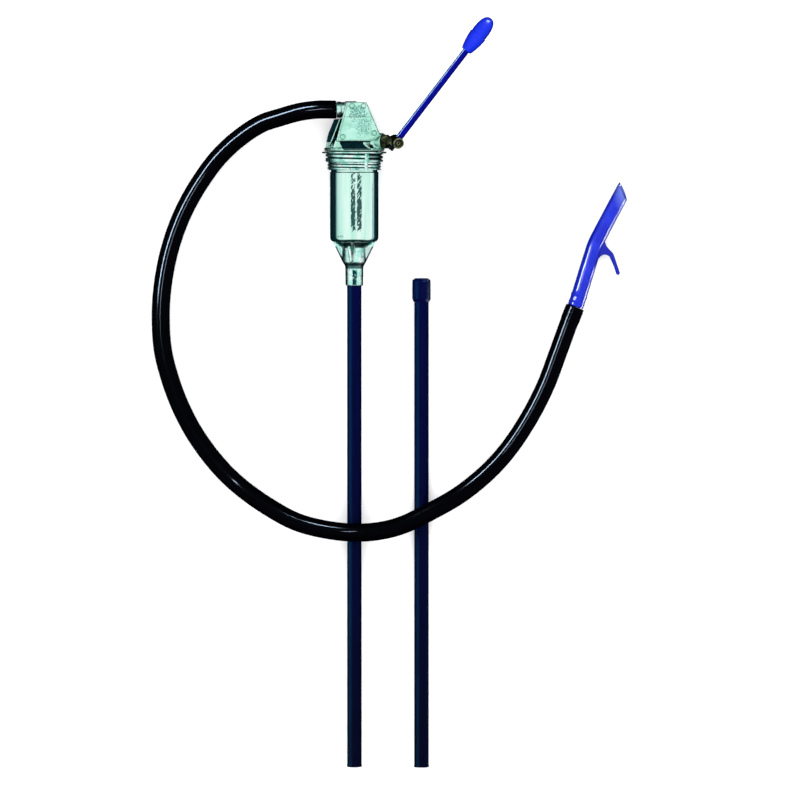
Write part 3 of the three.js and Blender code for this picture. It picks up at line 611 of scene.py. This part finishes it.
def seal_rubber():
    """Matt black rubber."""
    finish = Finish("seal_rubber", (0.02, 0.02, 0.022), 0.6)
    bloom = finish.noise(300, 4)
    finish.colour(finish.ramp(bloom, (0.3, (0.010, 0.014, 0.014)), (0.7, (0.03, 0.036, 0.037))))
    finish.roughness(finish.noise(500, 3), 0.5, 0.75)
    return finish.bump(finish.noise(1500, 4), 0.3, 0.08).material


def hose_rubber():
    """Glossy black hose with a slightly wavy skin."""
    finish = Finish("hose_rubber", (0.0004, 0.0004, 0.001), 0.14, 0.0,
                    {"Specular IOR Level": 0.014, "Specular Tint": (0.7, 0.8, 1.0, 1)})
    patches = finish.noise(40, 4)
    finish.colour(finish.ramp(patches, (0.3, (0.0004, 0.0004, 0.0008)), (0.75, (0.0008, 0.0008, 0.002))))
    finish.roughness(finish.noise(70, 4), 0.07, 0.11)
    finish.bump(finish.noise(60, 2), 0.08, 0.3)
    return finish.bump(finish.noise(900, 4), 0.05, 0.04).material


def tube_plastic():
    """Dark navy extruded plastic with fine draw lines and light scuffs."""
    finish = Finish("tube_plastic", (0.001, 0.001, 0.045), 0.3, 0.0,
                    {"Specular IOR Level": 0.05, "Specular Tint": (0.3, 0.65, 1.0, 1)})
    lines = finish.noise(500, 3, 0.5, (1, 0.01, 1))
    body = finish.ramp(lines, (0.3, (0.0002, 0.0002, 0.030)), (0.7, (0.0006, 0.0008, 0.052)))
    body = finish.mixed(finish.attribute("low"), body, (0.0008, 0.0002, 0.012))
    scuffs = finish.ramp(finish.noise(150, 5, 0.7, (1, 0.2, 1)), (0.62, 0.0), (0.76, 0.22))
    finish.colour(finish.mixed(scuffs, body, (0.006, 0.016, 0.07)))
    finish.roughness(finish.noise(220, 4), 0.22, 0.4)
    return finish.bump(lines, 0.12, 0.08).material


def lever_paint():
    """Dark royal blue coating with a light orange-peel."""
    finish = Finish("lever_paint", (0.001, 0.001, 0.34), 0.25, 0.0, {"Specular IOR Level": 0.04})
    paint = finish.ramp(finish.noise(120, 4), (0.3, (0.0003, 0.0003, 0.20)), (0.7, (0.001, 0.001, 0.32)))
    # Bare steel colour on the threaded tail; elsewhere painted shade darkens the sides that turn away
    # from the front.
    finish.colour(finish.mixed(finish.attribute("bare"), paint, (0.006, 0.008, 0.008)))
    finish.roughness(finish.noise(300, 3), 0.12, 0.2)
    return finish.bump(finish.noise(480, 3), 0.08, 0.1).material


def grip_plastic():
    """Bright blue moulded plastic with a fine matt grain."""
    finish = Finish("grip_plastic", (0.005, 0.02, 0.6), 0.4, 0.0, {"Specular IOR Level": 0.12})
    body = finish.ramp(finish.noise(90, 4), (0.3, (0.006, 0.026, 0.78)), (0.7, (0.010, 0.036, 0.90)))
    # Painted shade: the sides that turn away from the front are painted dark blue.
    finish.colour(finish.mixed(finish.attribute("deep"), body, (0.002, 0.003, 0.28)))
    finish.roughness(finish.noise(350, 4), 0.22, 0.34)
    return finish.bump(finish.cells(1300), 0.15, 0.08).material


def spout_plastic():
    """Translucent blue plastic, clear enough to see its far wall."""
    finish = Finish("spout_plastic", (0.02, 0.04, 0.9), 0.14, 0.0,
                    {"Transmission Weight": 0.25, "IOR": 1.42, "Specular IOR Level": 0.2})
    body = finish.ramp(finish.noise(45, 3), (0.3, (0.006, 0.02, 0.72)), (0.7, (0.018, 0.05, 0.95)))
    # Painted light: paler blue towards the open mouth.
    body = finish.mixed(finish.attribute("mouth"), body, (0.24, 0.34, 1.0))
    # Painted shade darkens the sides that turn away from the front; on the hook a darker tone of its own
    # darkens the flat faces too.
    finish.colour(finish.mixed(finish.attribute("deep"), body, (0.004, 0.010, 0.40)))
    finish.roughness(finish.noise(160, 4), 0.08, 0.2)
    return finish.bump(finish.noise(140, 3), 0.1, 0.2).material


FINISHES = {
    "cast_metal": cast_metal(), "turned_metal": turned_metal(), "steel": plated_steel(),
    "dark_steel": oiled_steel(), "bronze": bronze(), "seal_rubber": seal_rubber(),
    "hose_rubber": hose_rubber(), "tube_plastic": tube_plastic(), "lever_paint": lever_paint(),
    "grip_plastic": grip_plastic(), "spout_plastic": spout_plastic(),
}
for node, slot in SLOT_OF.items():
    carried = frame["nodes"][node].data.materials
    carried.clear()
    carried.append(FINISHES[slot])


PIECES = []


def finished(piece, *nodes, material=None):
    """Gives a piece the material and body of the CAD nodes that it stands for."""
    slot = SLOT_OF[nodes[0]]
    body = next(name for name, members in BEHAVIOUR["bodies"].items() if nodes[0] in members)
    piece.data.materials.clear()
    piece.data.materials.append(material or FINISHES[slot])
    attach(piece, body)
    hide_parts(*nodes)
    PIECES.append(piece)
    return piece


# ---- Spout and hose ------------------------------------------------------------------------------
def make_spout():
    """The bent tube with its ring and oblique mouth, and the hook that hangs it on a rim."""
    line = smooth_route(SPOUT_ROUTE, 16)
    line.append(line[-1] + (line[-1] - line[-2]).normalized() * 12)

    def outer(s, left):
        ring = 0.75 * math.exp(-((s - 12.5) / 0.9) ** 2) + 0.5 * math.exp(-((s - 4.5) / 0.8) ** 2)
        return SPOUT_RADIUS + ring - 0.25 * min(s / 150, 1)

    tube = hollow_tube("spout_tube", line, outer, SPOUT_BORE, segments=56, lip=0.4)
    flat = Vector((math.cos(MOUTH_SLOPE), math.sin(MOUTH_SLOPE), 0))
    mouth = flat * math.cos(MOUTH_RISE) + Vector((0, 0, math.sin(MOUTH_RISE)))

    # Painted light: the tube is painted paler towards its open mouth, fading out over 13 mm.
    def painted_mouth_light(point, normal):
        depth = (MOUTH_AT - point).dot(mouth)
        return clamp(1 - depth / 13) * 0.9

    cut_off(tube, (MOUTH_AT - mouth * MOUTH_TRIM) * MM, mouth)
    marked(tube, "mouth", WORLD, painted_mouth_light)
    # Painted shade on the sides of the tube that turn away from the front.
    marked(tube, "deep", WORLD, rim)
    finished(tube, "spout")

    outline = [
        (268.5, -127.5, 1), (273.0, -124.9, 1), (279.8, -124.4, 1), (281.9, -130.1, 3),
        (285.1, -133.9, 3), (289.6, -138.5, 3), (292.2, -145.6, 4), (294.8, -153.4, 2),
        (297.2, -160.4, 1.8), (295.6, -163.2, 1.8), (292.8, -161.6, 1.8), (290.3, -153.3, 2),
        (287.0, -145.6, 3), (285.1, -141.7, 2), (281.9, -139.8, 3), (278.7, -139.8, 3),
        (275.4, -141.7, 3), (272.2, -145.6, 3), (270.2, -150.1, 1), (266.5, -149, 1),
    ]
    hook = new_object("spout_hook", *plate_mesh(rounded(outline, 2.0, 6), 7.2, 12.2))
    corner = math.radians(50)
    applied(hook, "BEVEL", width=1.5 * MM, segments=4, limit_method="ANGLE", angle_limit=corner)
    hook.data.shade_smooth()
    # The hook's flat faces take a darker tone of their own; its sides are painted with shade.
    marked(hook, "deep", WORLD, lambda point, normal: 1.0 if normal.z < 0.9 else 0.7)
    return tube, finished(hook, "spout")


def make_hose():
    """The hose along its route, swollen and ridged where the barbed spout sits in it."""
    line = smooth_route(HOSE_ROUTE, 24)
    held, slope, ridge_pitch = 13, 6, 4.4

    def outer(s, left):
        if left > held + slope:
            return HOSE_RADIUS - 0.3 * math.exp(-s / 1.2)
        swell = 0.42 * (1 - max(left - held, 0) / slope) ** 0.7
        ridges = 0.16 * math.cos(left * 2 * math.pi / ridge_pitch) if left < held else 0.0
        return HOSE_RADIUS + swell + ridges

    hose = hollow_tube("discharge_hose", line, outer, HOSE_BORE, segments=48)
    for vertex in hose.data.vertices:
        vertex.co.z = max(vertex.co.z, 0.05 * MM)
    finished(hose, "hose")
    return hose


spout_tube, spout_hook = make_spout()
make_hose()


# ---- Drum collar, cylinder and tubes -------------------------------------------------------------
def make_collar():
    """The flange and its two threads, with a flat land cut down across both."""
    drum = thread(DRUM_THREAD, DRUM_DEPTH, DRUM_PITCH, -28.4, 0.5)
    pipe = thread(PIPE_THREAD, PIPE_DEPTH, PIPE_PITCH, -39.6, 0.5)
    edge = [(-0.8, 0), (-0.2, -0.3), (0, -0.8), (0, -1.3), (-0.3, -1.7), (-1, -1.8)]
    profile = [(26.5, COLLAR_END), (26.5, FLANGE_TOP)]
    profile += [(FLANGE_RADIUS + out, FLANGE_TOP + down) for out, down in edge]
    profile += [(31.2, FLANGE_TOP - 1.8)]
    profile += [(DRUM_THREAD, level) for level in levels(-27.7, -36.6, 0.25)]
    profile += [(29.2, -36.9), (28.6, -37.3)]
    profile += [(PIPE_THREAD, level) for level in levels(-37.6, -45.6, 0.2)]
    profile += [(28.4, COLLAR_END)]

    def shape(radius, level, angle):
        if radius == DRUM_THREAD:
            fade = clamp((level + 35.4) / 1.6)
            radius = DRUM_THREAD - (DRUM_THREAD - drum(level, angle)) * fade
        elif radius == PIPE_THREAD:
            radius = pipe(level, angle)
        offset = wrapped(angle - LAND_TURN)
        if radius > LAND_RADIUS and level < -27.5 and abs(offset) < LAND_HALF:
            return LAND_RADIUS / math.cos(offset)
        return radius

    collar = lathe("thread_collar_cut", profile, PUMP, 288, shape, sharp=38)

    # Painted shade: the thread roots darker with their depth, and a band right of the land painted dark
    # as shade.
    def soil(point, normal):
        radius, level = math.hypot(point.x, point.z), point.y
        offset = wrapped(math.atan2(point.x, point.z) - LAND_TURN)
        if abs(offset) < LAND_HALF * 1.05 or level > -27.0 or radius < 27 or -38.0 < level < -35.6:
            return 0.0
        major, full = (DRUM_THREAD, DRUM_DEPTH) if level > -37 else (PIPE_THREAD, PIPE_DEPTH)
        depth = (major - radius) / full
        shade = 0.8 if 0 < offset < 1.2 and level > -35.5 else 0.0
        return max(min(depth, 1.0), shade)

    return marked(collar, "soil", PUMP, soil)


def make_barrel():
    """The turned cylinder, open at the top, with a rounded lower corner."""
    profile = [(BORE_RADIUS, -31.3), (NECK_RADIUS, -31.3), (NECK_RADIUS, -45.3), (25.9, -46.2),
               (25.9, -47.8, 0.3), (26.5, -48.3), (BARREL_RADIUS, -49, 0.5)]
    profile += [(BARREL_RADIUS, level, 0) for level in range(-51, -113, -2)]
    profile += [(BARREL_RADIUS, BARREL_END, 5.6), (14, -127.4, 0.6), (14, -124.6, 0.3), (18, -121, 0.2),
                (BORE_RADIUS, -121, 0.2)]
    barrel = lathe("cylinder_barrel", rounded(profile, 0.2, 8), PUMP, 240)

    middle, half, densest = 2.4, 6.6, 92  # of the band painted with a dark reflection, in mm

    # Painted reflection: a dark band down the front, and a dark patch low on the left.
    def smears(point, normal):
        x, down = point.x, -point.y
        if normal.z < 0.5:
            return 0.0
        if 113 < down < 121:
            return 0.72 if -19 < x < -12 else 0.0
        if not 48.5 < down < 114:
            return 0.0
        off = abs(x - middle)
        across = clamp((half - off) / 0.8) * clamp(max((off - 0.4) / 0.8, 0.55))
        return across * (0.80 + 0.22 * math.exp(-((down - densest) / 22) ** 2))

    return marked(barrel, "smears", PUMP, smears)


def make_neck():
    """The cast lower end of the cylinder: a cup with four ribs, and the spigot over the tube."""
    cup = rounded([(6.2, -127), (19.5, -125.6), (21.4, -126.2, 0.5), (17.4, -129.2, 1.5),
                   (CUP_RADIUS, -132.5, 2), (CUP_RADIUS, -148.2, 2.4), (10.5, -152.6, 1),
                   (SPIGOT_RADIUS + 0.15, -154.4, 0.6), (SPIGOT_RADIUS, SPIGOT_END + 0.8, 0.5),
                   (9.2, SPIGOT_END, 0.3), (8.3, SPIGOT_END, 0), (8.3, -158.2, 0), (6.2, -158.2, 0)], 0.3)
    meshes = [lathe_mesh(cup, PUMP, 96)]
    for quarter in range(4):
        place = PUMP @ turn(-96.7 + 90 * quarter, "Y")
        for half, inset in ((1.0, 0.0), (1.7, 3.2), (2.6, 5.6)):
            foot = max(13.6 - 0.2 * inset, 11)
            outline = [(9, -126), (23.6 - inset, -126), (23.2 - inset, -127.6), (foot, -147.4),
                       (9, -150 + inset)]
            meshes.append(plate_mesh(outline, -half, half, place))
    wedge = [(-8.2, -126.5), (1.6, -126.5), (-3.2, -148.4), (-4.4, -148.4)]
    meshes.append(plate_mesh(wedge, 8, 14.8, PUMP))

    def soil(point, normal):
        x, y, z = point
        if z < -7:
            return 0.0
        if -131.2 < y < -125:  # painted shadow under the corner of the cylinder
            return 0.8 if -12 < x < 18 and z > 8 else 0.0
        if -156 < y < -149.6:  # painted shade in the step down to the spigot
            return 0.85
        # A streak down the spigot's front, painted dark as a reflection.
        if -174 < y < -157 and abs(x - 0.4) < 2.6:
            return 1.0 if noise.noise(Vector((x * 1.2 + y * 0.6, y * 0.6, 3))) > -0.3 else 0.3
        # Painted shade on the outer edges of the ribs.
        rib_edge = 23.6 + (y + 127.6) * 0.508
        if y < -127 and abs(x) > rib_edge - 1.9 and abs(z) < 3.2 + abs(x) * 0.2:
            return 1.0
        # Painted shade on one side of the V in the front rib.
        if -148 < y < -130 and z > 12 and -3.4 < x < 1.6 + (y + 127) * 0.22:
            return 0.75
        if -149 < y < -131 and x > 7 and z > 3:  # the shaded right of the cup
            return 0.62
        return 0.0

    neck = grained(fused("cylinder_neck", meshes, 0.42, 3), 0.05, 2.0)
    return marked(neck, "soil", PUMP, soil)


def make_tube(name, start, place):
    """An extruded tube from a level down to its beaded end."""
    profile = [(TUBE_BORE, start), (TUBE_RADIUS, start), (TUBE_RADIUS, TUBE_END + 3.6, 1.0),
               (BEAD_RADIUS, TUBE_END + 2.2, 0.8), (BEAD_RADIUS, TUBE_END + 0.1, 0.8),
               (TUBE_BORE + 0.2, TUBE_END, 0.5), (TUBE_BORE, TUBE_END + 1.5, 0.4)]
    outline = rounded(profile, 0.25)
    outline[2:2] = [Vector((TUBE_RADIUS, level)) for level in levels(start - 4, TUBE_END + 8, 24)]

    def shape(radius, level, angle):
        return radius + 0.05 * noise.noise(Vector((math.cos(angle), math.sin(angle), level / 30)))

    pipe = lathe(name, outline, place, 64, shape)
    return marked(pipe, "low", place, lambda point, normal: clamp((-point.y - 180) / 480))


def make_coupling():
    """The sleeve on top of the loose tube, with a lip, a groove under it and two mould seams."""
    side = COUPLING_RADIUS
    profile = [
        (6.9, COUPLING_TOP - 1.3, 0.3), (7.9, COUPLING_TOP - 1.1, 0.4), (8.0, COUPLING_TOP - 2.3, 0.2),
        (side - 0.2, COUPLING_TOP - 2.6, 0.3), (side, COUPLING_TOP - 3.6, 0.2),
        (side - 0.35, COUPLING_TOP - 4.2, 0.2), (side - 0.05, COUPLING_TOP - 4.9, 0.2),
        (side - 0.05, COUPLING_BOTTOM + 3.2, 1.0),
        (9.0, COUPLING_BOTTOM + 0.5, 0.4), (TUBE_RADIUS + 0.3, COUPLING_BOTTOM + 0.1, 0.2),
        (TUBE_RADIUS + 0.3, COUPLING_TOP - 4, 0.2), (6.9, COUPLING_TOP - 3.6, 0.2),
    ]
    seams = [math.radians(a) for a in (50, 230)]

    def shape(radius, level, angle):
        offsets = [wrapped(angle - seam) for seam in seams]
        ridge = sum(math.exp(-(offset / 0.05) ** 2) for offset in offsets)
        return radius + (0.18 * ridge if radius > 9.8 else 0)

    return lathe("coupling_sleeve", rounded(profile, 0.3), EXTENSION, 160, shape)


finished(make_collar(), "thread_collar", material=machined_metal("threaded_metal", shade_painted=True))
finished(make_barrel(), "pump_cylinder")
finished(make_neck(), "pump_cylinder", material=machined_metal("neck_metal", shade_painted=True))
finished(make_tube("suction_pipe", -158.4, PUMP), "suction_tube")
finished(make_tube("extension_pipe", -179.9, EXTENSION), "extension_tube")
finished(make_coupling(), "extension_coupling")


# ---- Head ----------------------------------------------------------------------------------------
def make_housing():
    """The casting. Its up-facing front faces, the shaft boss and the foot are painted bright as lit; the
    rest is painted near-black as shade.
    """
    to_shaft = SHAFT.inverted() @ PUMP

    # Painted light: 1 where a face is painted as lit, lower where it is painted as shade.
    def raised(point, normal):
        along, across, high = (to_shaft @ (point * MM)) / MM
        if along > 11.5 and math.hypot(across, high) < 10.6 and point.z > 2:
            return 1.0
        if normal.z > 0.6 and (point.z > 20.0 or (point.x < -13 and 11.4 < point.z < 14)):
            return 1.0
        if point.y < -15.0 and point.x < -20.5 and normal.z > 0.3:
            return 0.8
        return 0.35 if point.y < -22.5 or point.x > 16 else 0.0

    casting = grained(softened("head_housing", "housing_casting", 0.5, 3), 0.05, 1.4)
    return marked(casting, "raised", PUMP, raised)


def make_cover():
    """The front cover, its upper part stepped a little forward, with dark grains denser in patches and a
    painted shade line along the step.
    """
    cover = softened("front_cover", "cover_casting", 0.4, 2)
    to_pump = PUMP.inverted()
    up = PUMP.to_3x3() @ Vector((0, 0, 1))
    for vertex in cover.data.vertices:
        point = to_pump @ vertex.co / MM
        if point.z > COVER_FRONT - 0.9 and point.y > COVER_STEP:
            vertex.co += up * 0.35 * MM

    def pits(point, normal):
        x, y = point.x, point.y
        # Painted shade along the step.
        if abs(y - COVER_STEP) < 0.45 and -8 < x < 13:
            return 1.0
        wobble = noise.noise_vector(point * 0.3) * 3.2
        x, y = x + wobble.x, y + wobble.y
        if 13.4 < y < 26 and -5.5 < x < 13:
            return 0.82
        if -7 < y < 11 and 4 < x < 19:
            return 0.72
        if 0 < y < 11 and -6 < x <= 4:
            return 0.6
        return 0.2 if y > -6 else 0.42 if x > 2 else 0.12

    return marked(grained(cover, 0.09, 1.1), "pits", PUMP, pits)


def make_nozzle():
    """The outlet spigot between the head and the hose, with a groove in it."""
    profile = [(4.8, 10.3), (8.8, 10.3), (8.8, 12.2), (8.3, 12.7), (8.3, 14.2), (9.0, 14.9), (9.0, 19.0),
               (8.4, 19.7), (4.8, 19.7)]
    return lathe("nozzle_spigot", rounded(profile, 0.35), OUTLET, 72)


def make_screw(name, place, head=2.7, height=1.7, shank=1.5, length=11.0, socket=1.3, depth=1.2):
    """A cap screw with a hexagon socket, its seat at the place given and its head along Z."""
    profile = [(0, -length), (shank, -length), (shank, 0), (head, 0), (head, height - 0.6),
               (head - 0.6, height), (socket + 0.3, height), (socket, height - 0.3),
               (socket, height - depth), (0, height - depth - 0.2)]

    def shape(radius, level, angle):
        return hexagon(radius * 1.1, angle) if radius == socket else radius

    return lathe(name, profile, place @ turn(90, "X"), 48, shape, sharp=40)


finished(make_housing(), "head_housing", material=cast_metal("cast_housing", with_painted_light=True))
finished(make_cover(), "front_cover", material=cast_metal("cast_cover", grain_patches=True))
finished(make_nozzle(), "outlet_nozzle", material=machined_metal())

SCREW_SINK = 2.1
screw_metal = cast_metal("screw_metal")
for i, (x, y) in enumerate([(-2.4, 25.6), (10.4, 25.6), (-12.6, -9), (22.4, -4.6)]):
    place = PUMP @ shift(x, y, COVER_FRONT - SCREW_SINK)
    finished(make_screw(f"cap_screw_{i + 1}", place), f"cover_screw_{i + 1}", material=screw_metal)


# ---- Shaft, gland, knuckle and lever -------------------------------------------------------------
def make_gland():
    """The gland nut around the shaft, finely knurled beyond its groove."""
    profile = [(6.15, 31.8), (7.3, 31.8), (7.7, 32.3), (7.7, 33.4), (7.1, 33.8), (7.1, 34.2),
               (7.7, 34.6), (7.7, 41.6), (7.1, 42.4), (6.15, 42.4)]

    def shape(radius, level, angle):
        knurl = 0.16 * abs(math.sin(30 * angle)) if radius > 7.6 and level > 34.3 else 0
        return radius - knurl

    return lathe("gland_nut_knurled", rounded(profile, 0.12, 2), ALONG_SHAFT, 240, shape, sharp=50)


def make_knuckle():
    """The shaft end, with a ring sunk in the face around its screw."""
    knuckle = softened("rocker_shaft", "shaft_and_knuckle", 0.3, 2)
    to_knuckle = KNUCKLE.inverted()
    down = KNUCKLE.to_3x3() @ Vector((0, -1, 0))
    for vertex in knuckle.data.vertices:
        point = to_knuckle @ vertex.co / MM
        if point.y > 7.3 and 3.6 < math.hypot(point.x, point.z) < 4.9:
            vertex.co += down * 1.5 * MM

    # Painted highlight on the knuckle's end face, outside the sunk ring.
    def worn(point, normal):
        in_ring = 3.1 < math.hypot(point.x, point.z) < 5.2
        return 0.8 if point.y > 6 and normal.y > 0.5 and not in_ring else 0.0

    return marked(knuckle, "worn", KNUCKLE, worn)


def make_lever():
    """The painted rod, with an unpainted threaded tail through the knuckle, and painted shade along its
    sides.
    """
    tail = 3.75
    screw = thread(tail, 0.75, 1.75)
    profile = [(0, -11.5), (2.6, -11.4)]
    profile += [(tail, level) for level in levels(-6.4, -11.1, 0.25)[::-1]]
    profile += [(LEVER_RADIUS, level) for level in (-6.0, -5, -4.2, 60, 130, LEVER_END - 0.6)]
    profile += [(3.4, LEVER_END), (0, LEVER_END)]

    def shape(radius, level, angle):
        return screw(level, angle) if radius == tail else radius

    rod = lathe("lever_rod", profile, LEVER, 96, shape, sharp=45)

    # The tail is bare steel; the rod's sides get painted shade.
    def bare(point, normal):
        return 1.0 if point.y < -4.5 else rim(point, normal)

    return marked(rod, "bare", LEVER, bare)


def make_grip():
    """The moulded grip: a fluted cone up to its step ring, and a domed end."""
    bore = [(0, 26), (GRIP_BORE, 26), (GRIP_BORE, 0.4), (4.6, 0.0), (5.1, 0.0), (5.7, 0.3)]
    cone = [(6.3, 1.2), (7.2, 3.6), (8.1, 7), (8.8, 10.5), (9.4, 14), (9.75, 17.5), (9.95, 20.6)]
    ring = [(10.0, 21.6), (9.9, 22.2), (9.5, 22.5), (9.25, 22.7), (9.2, 23.2), (9.3, 24.4)]
    dome = [(9.35, 27), (9.3, 30), (9.05, 33), (8.55, 36), (7.75, 39), (6.6, 41.6), (5.1, 43.6),
            (3.4, 44.9), (1.7, 45.5), (0, 45.6)]

    def shape(radius, level, angle):
        flute = 0.22 * max(0.0, math.cos(8 * angle)) ** 3 if radius > 6 and 2 < level < 18 else 0
        return radius - flute

    place = LEVER @ shift(0, GRIP_START, 0)
    grip = lathe("grip_moulding", bore + cone + ring + dome, place, 96, shape, sharp=40)
    # Painted shade on the sides that turn away from the front.
    return marked(grip, "deep", WORLD, rim)


finished(make_gland(), "gland_nut")
handled_steel = oiled_steel("handled_steel", face_highlighted=True)
finished(make_knuckle(), "rocker_shaft", material=handled_steel)
KNUCKLE_FACE = KNUCKLE @ turn(-90, "X") @ shift(0, 0, 6.6)
lever_screw = make_screw("lever_screw", KNUCKLE_FACE, height=0.9, shank=2.7, length=2.2, depth=2.4)
# Painted highlight on the screw's head.
marked(lever_screw, "worn", KNUCKLE, lambda point, normal: 0.5 if point.y > 7 else 0.0)
finished(lever_screw, "lever_set_screw", material=handled_steel)
finished(make_lever(), "hand_lever")
finished(make_grip(), "lever_grip")


# ---- Stage and light -----------------------------------------------------------------------------
def make_stage():
    """A plain pale floor that takes shadows, and is not mirrored in the pump."""
    floor = new_object("floor", [(-20, -20, 0), (20, -20, 0), (20, 20, 0), (-20, 20, 0)], [(0, 1, 2, 3)])
    finish = Finish("floor_paper", (0.94, 0.945, 0.95), 0.9, 0.0, {"Specular IOR Level": 0.05})
    clouds = finish.noise(3, 4)
    finish.colour(finish.ramp(clouds, (0.3, (0.94, 0.945, 0.95)), (0.7, (0.95, 0.955, 0.96))))
    floor.data.materials.append(finish.material)
    floor.visible_glossy = False
    floor.visible_diffuse = False
    floor.visible_shadow = False
    return floor


def graded(tree, factor, stops, low, high):
    """A colour ramp over a range, from (value, colour) stops."""
    part = tree.nodes.new("ShaderNodeMapRange")
    part.inputs["From Min"].default_value = low
    part.inputs["From Max"].default_value = high
    tree.links.new(factor, part.inputs["Value"])
    ramp = tree.nodes.new("ShaderNodeValToRGB")
    while len(ramp.color_ramp.elements) < len(stops):
        ramp.color_ramp.elements.new(1.0)
    for element, (value, colour) in zip(ramp.color_ramp.elements, stops):
        element.position = (value - low) / (high - low)
        element.color = (*colour, 1)
    tree.links.new(part.outputs["Result"], ramp.inputs["Fac"])
    return ramp.outputs["Color"]


def make_world():
    """A pale room, brightest overhead, with dark cards below that give metal its dark edges."""
    world = bpy.data.worlds.new("world")
    bpy.context.scene.world = world
    world.use_nodes = True
    tree = world.node_tree
    split = tree.nodes.new("ShaderNodeSeparateXYZ")
    tree.links.new(tree.nodes.new("ShaderNodeTexCoord").outputs["Generated"], split.inputs["Vector"])
    room = tree.nodes["Background"]
    soft = [(-1, (0.02,) * 3), (0, (0.04,) * 3), (0.3, (0.25,) * 3), (1, (1.0,) * 3)]
    tree.links.new(graded(tree, split.outputs["Z"], soft, -1, 1), room.inputs["Color"])
    room.inputs["Strength"].default_value = 1.75

    side = tree.nodes.new("ShaderNodeMath")
    side.operation = "ARCTAN2"
    tree.links.new(split.outputs["X"], side.inputs[0])
    tree.links.new(split.outputs["Z"], side.inputs[1])
    dark, pale = (0.003, 0.02, 0.03), (1.0, 1.0, 1.0)
    around = [(-3.14, dark), (-1.75, dark), (-1.55, (0.55, 0.7, 0.7)), (-1.2, (0.9, 0.95, 0.95)),
              (-0.9, pale), (-0.5, pale), (0, (0.94, 0.96, 0.95)), (1.6, pale), (1.8, (0.8, 0.9, 0.9)),
              (1.95, dark), (3.14, dark)]
    ends = [(-1, dark), (-0.85, dark), (-0.6, pale), (0.75, pale), (0.95, (0.1, 0.16, 0.17)), (1, dark)]
    cards = tree.nodes.new("ShaderNodeMix")
    cards.data_type = "RGBA"
    cards.blend_type = "MULTIPLY"
    cards.inputs[0].default_value = 1.0
    tree.links.new(graded(tree, side.outputs["Value"], around, -math.pi, math.pi), cards.inputs[6])
    tree.links.new(graded(tree, split.outputs["Y"], ends, -1, 1), cards.inputs[7])
    shiny = tree.nodes.new("ShaderNodeBackground")
    tree.links.new(cards.outputs[2], shiny.inputs["Color"])
    mix = tree.nodes.new("ShaderNodeMixShader")
    tree.links.new(tree.nodes.new("ShaderNodeLightPath").outputs["Is Glossy Ray"], mix.inputs["Fac"])
    tree.links.new(room.outputs["Background"], mix.inputs[1])
    tree.links.new(shiny.outputs["Background"], mix.inputs[2])
    tree.links.new(mix.outputs["Shader"], tree.nodes["World Output"].inputs["Surface"])


def lit_pieces(name, words):
    """A collection of the pieces whose names hold one of the words."""
    group = bpy.data.collections.new(name)
    for piece in PIECES:
        if any(word in piece.name for word in words):
            group.objects.link(piece)
    return group


# Name, azimuth and elevation in degrees, size in metres, radiance, colour, and words of the pieces lit.
STRIPS = [
    ("low_strip", 140, 46, (2.1, 0.36), 1000, (0.8, 0.95, 1.0), ["hose"]),
    ("high_strip", 140, 80, (0.6, 0.12), 480, (0.9, 0.95, 1.0), ["hose"]),
    ("left_strip", 161, 36, (0.5, 0.3), 190, (0.85, 0.97, 1.0), ["spout"]),
    ("left_line", 161, 64, (0.3, 0.12), 240, (0.9, 1.0, 1.0), ["spout"]),
    ("right_strip", -25, -12, (2.8, 0.16), 140, (0.9, 0.95, 1.0), ["spout", "coupling"]),
    ("tube_strip", 172, 18, (2.0, 2.3), 8.5, (0.1, 0.8, 1.0), ["pipe", "coupling"]),
    ("lever_strip", 142, 18, (2.0, 0.5), 420, (0.45, 0.8, 1.0), ["lever_rod"]),
    ("ring_strip", 60, 30, (1.2, 0.5), 120, (0.7, 0.85, 1.0), ["grip", "coupling"]),
]


def strip_light(name, azimuth, elevation, size, radiance, colour, words):
    """A long lamp aimed at the pump. It shows only as a reflection in the pieces named by the words."""
    a, e = math.radians(azimuth), math.radians(elevation)
    away = Vector((math.cos(a) * math.cos(e), math.sin(a) * math.cos(e), math.sin(e)))
    across = Vector((-math.sin(a), math.cos(a), 0))
    data = bpy.data.lights.new(name, "AREA")
    data.shape = "RECTANGLE"
    data.size, data.size_y = size
    data.energy = radiance * math.pi * size[0] * size[1]
    data.color = colour
    lamp = bpy.data.objects.new(name, data)
    turned = Matrix((across, away.cross(across), away)).transposed().to_4x4()
    lamp.matrix_world = Matrix.Translation(Vector((0.02, -0.2, 0)) + away * 2.2) @ turned
    bpy.context.scene.collection.objects.link(lamp)
    lamp.light_linking.receiver_collection = lit_pieces(name, words)
    lamp.visible_diffuse = False


def make_lights():
    """The room, a sun for the floor alone, and the strips."""
    floor = make_stage()
    make_world()
    sun = bpy.data.objects.new("paper_light", bpy.data.lights.new("paper_light", "SUN"))
    sun.data.energy = 2.4
    sun.data.angle = math.radians(120)
    bpy.context.scene.collection.objects.link(sun)
    paper = bpy.data.collections.new("paper")
    paper.objects.link(floor)
    sun.light_linking.receiver_collection = paper
    for strip in STRIPS:
        strip_light(*strip)


make_lights()
bpy.context.scene.view_settings.view_transform = "Standard"
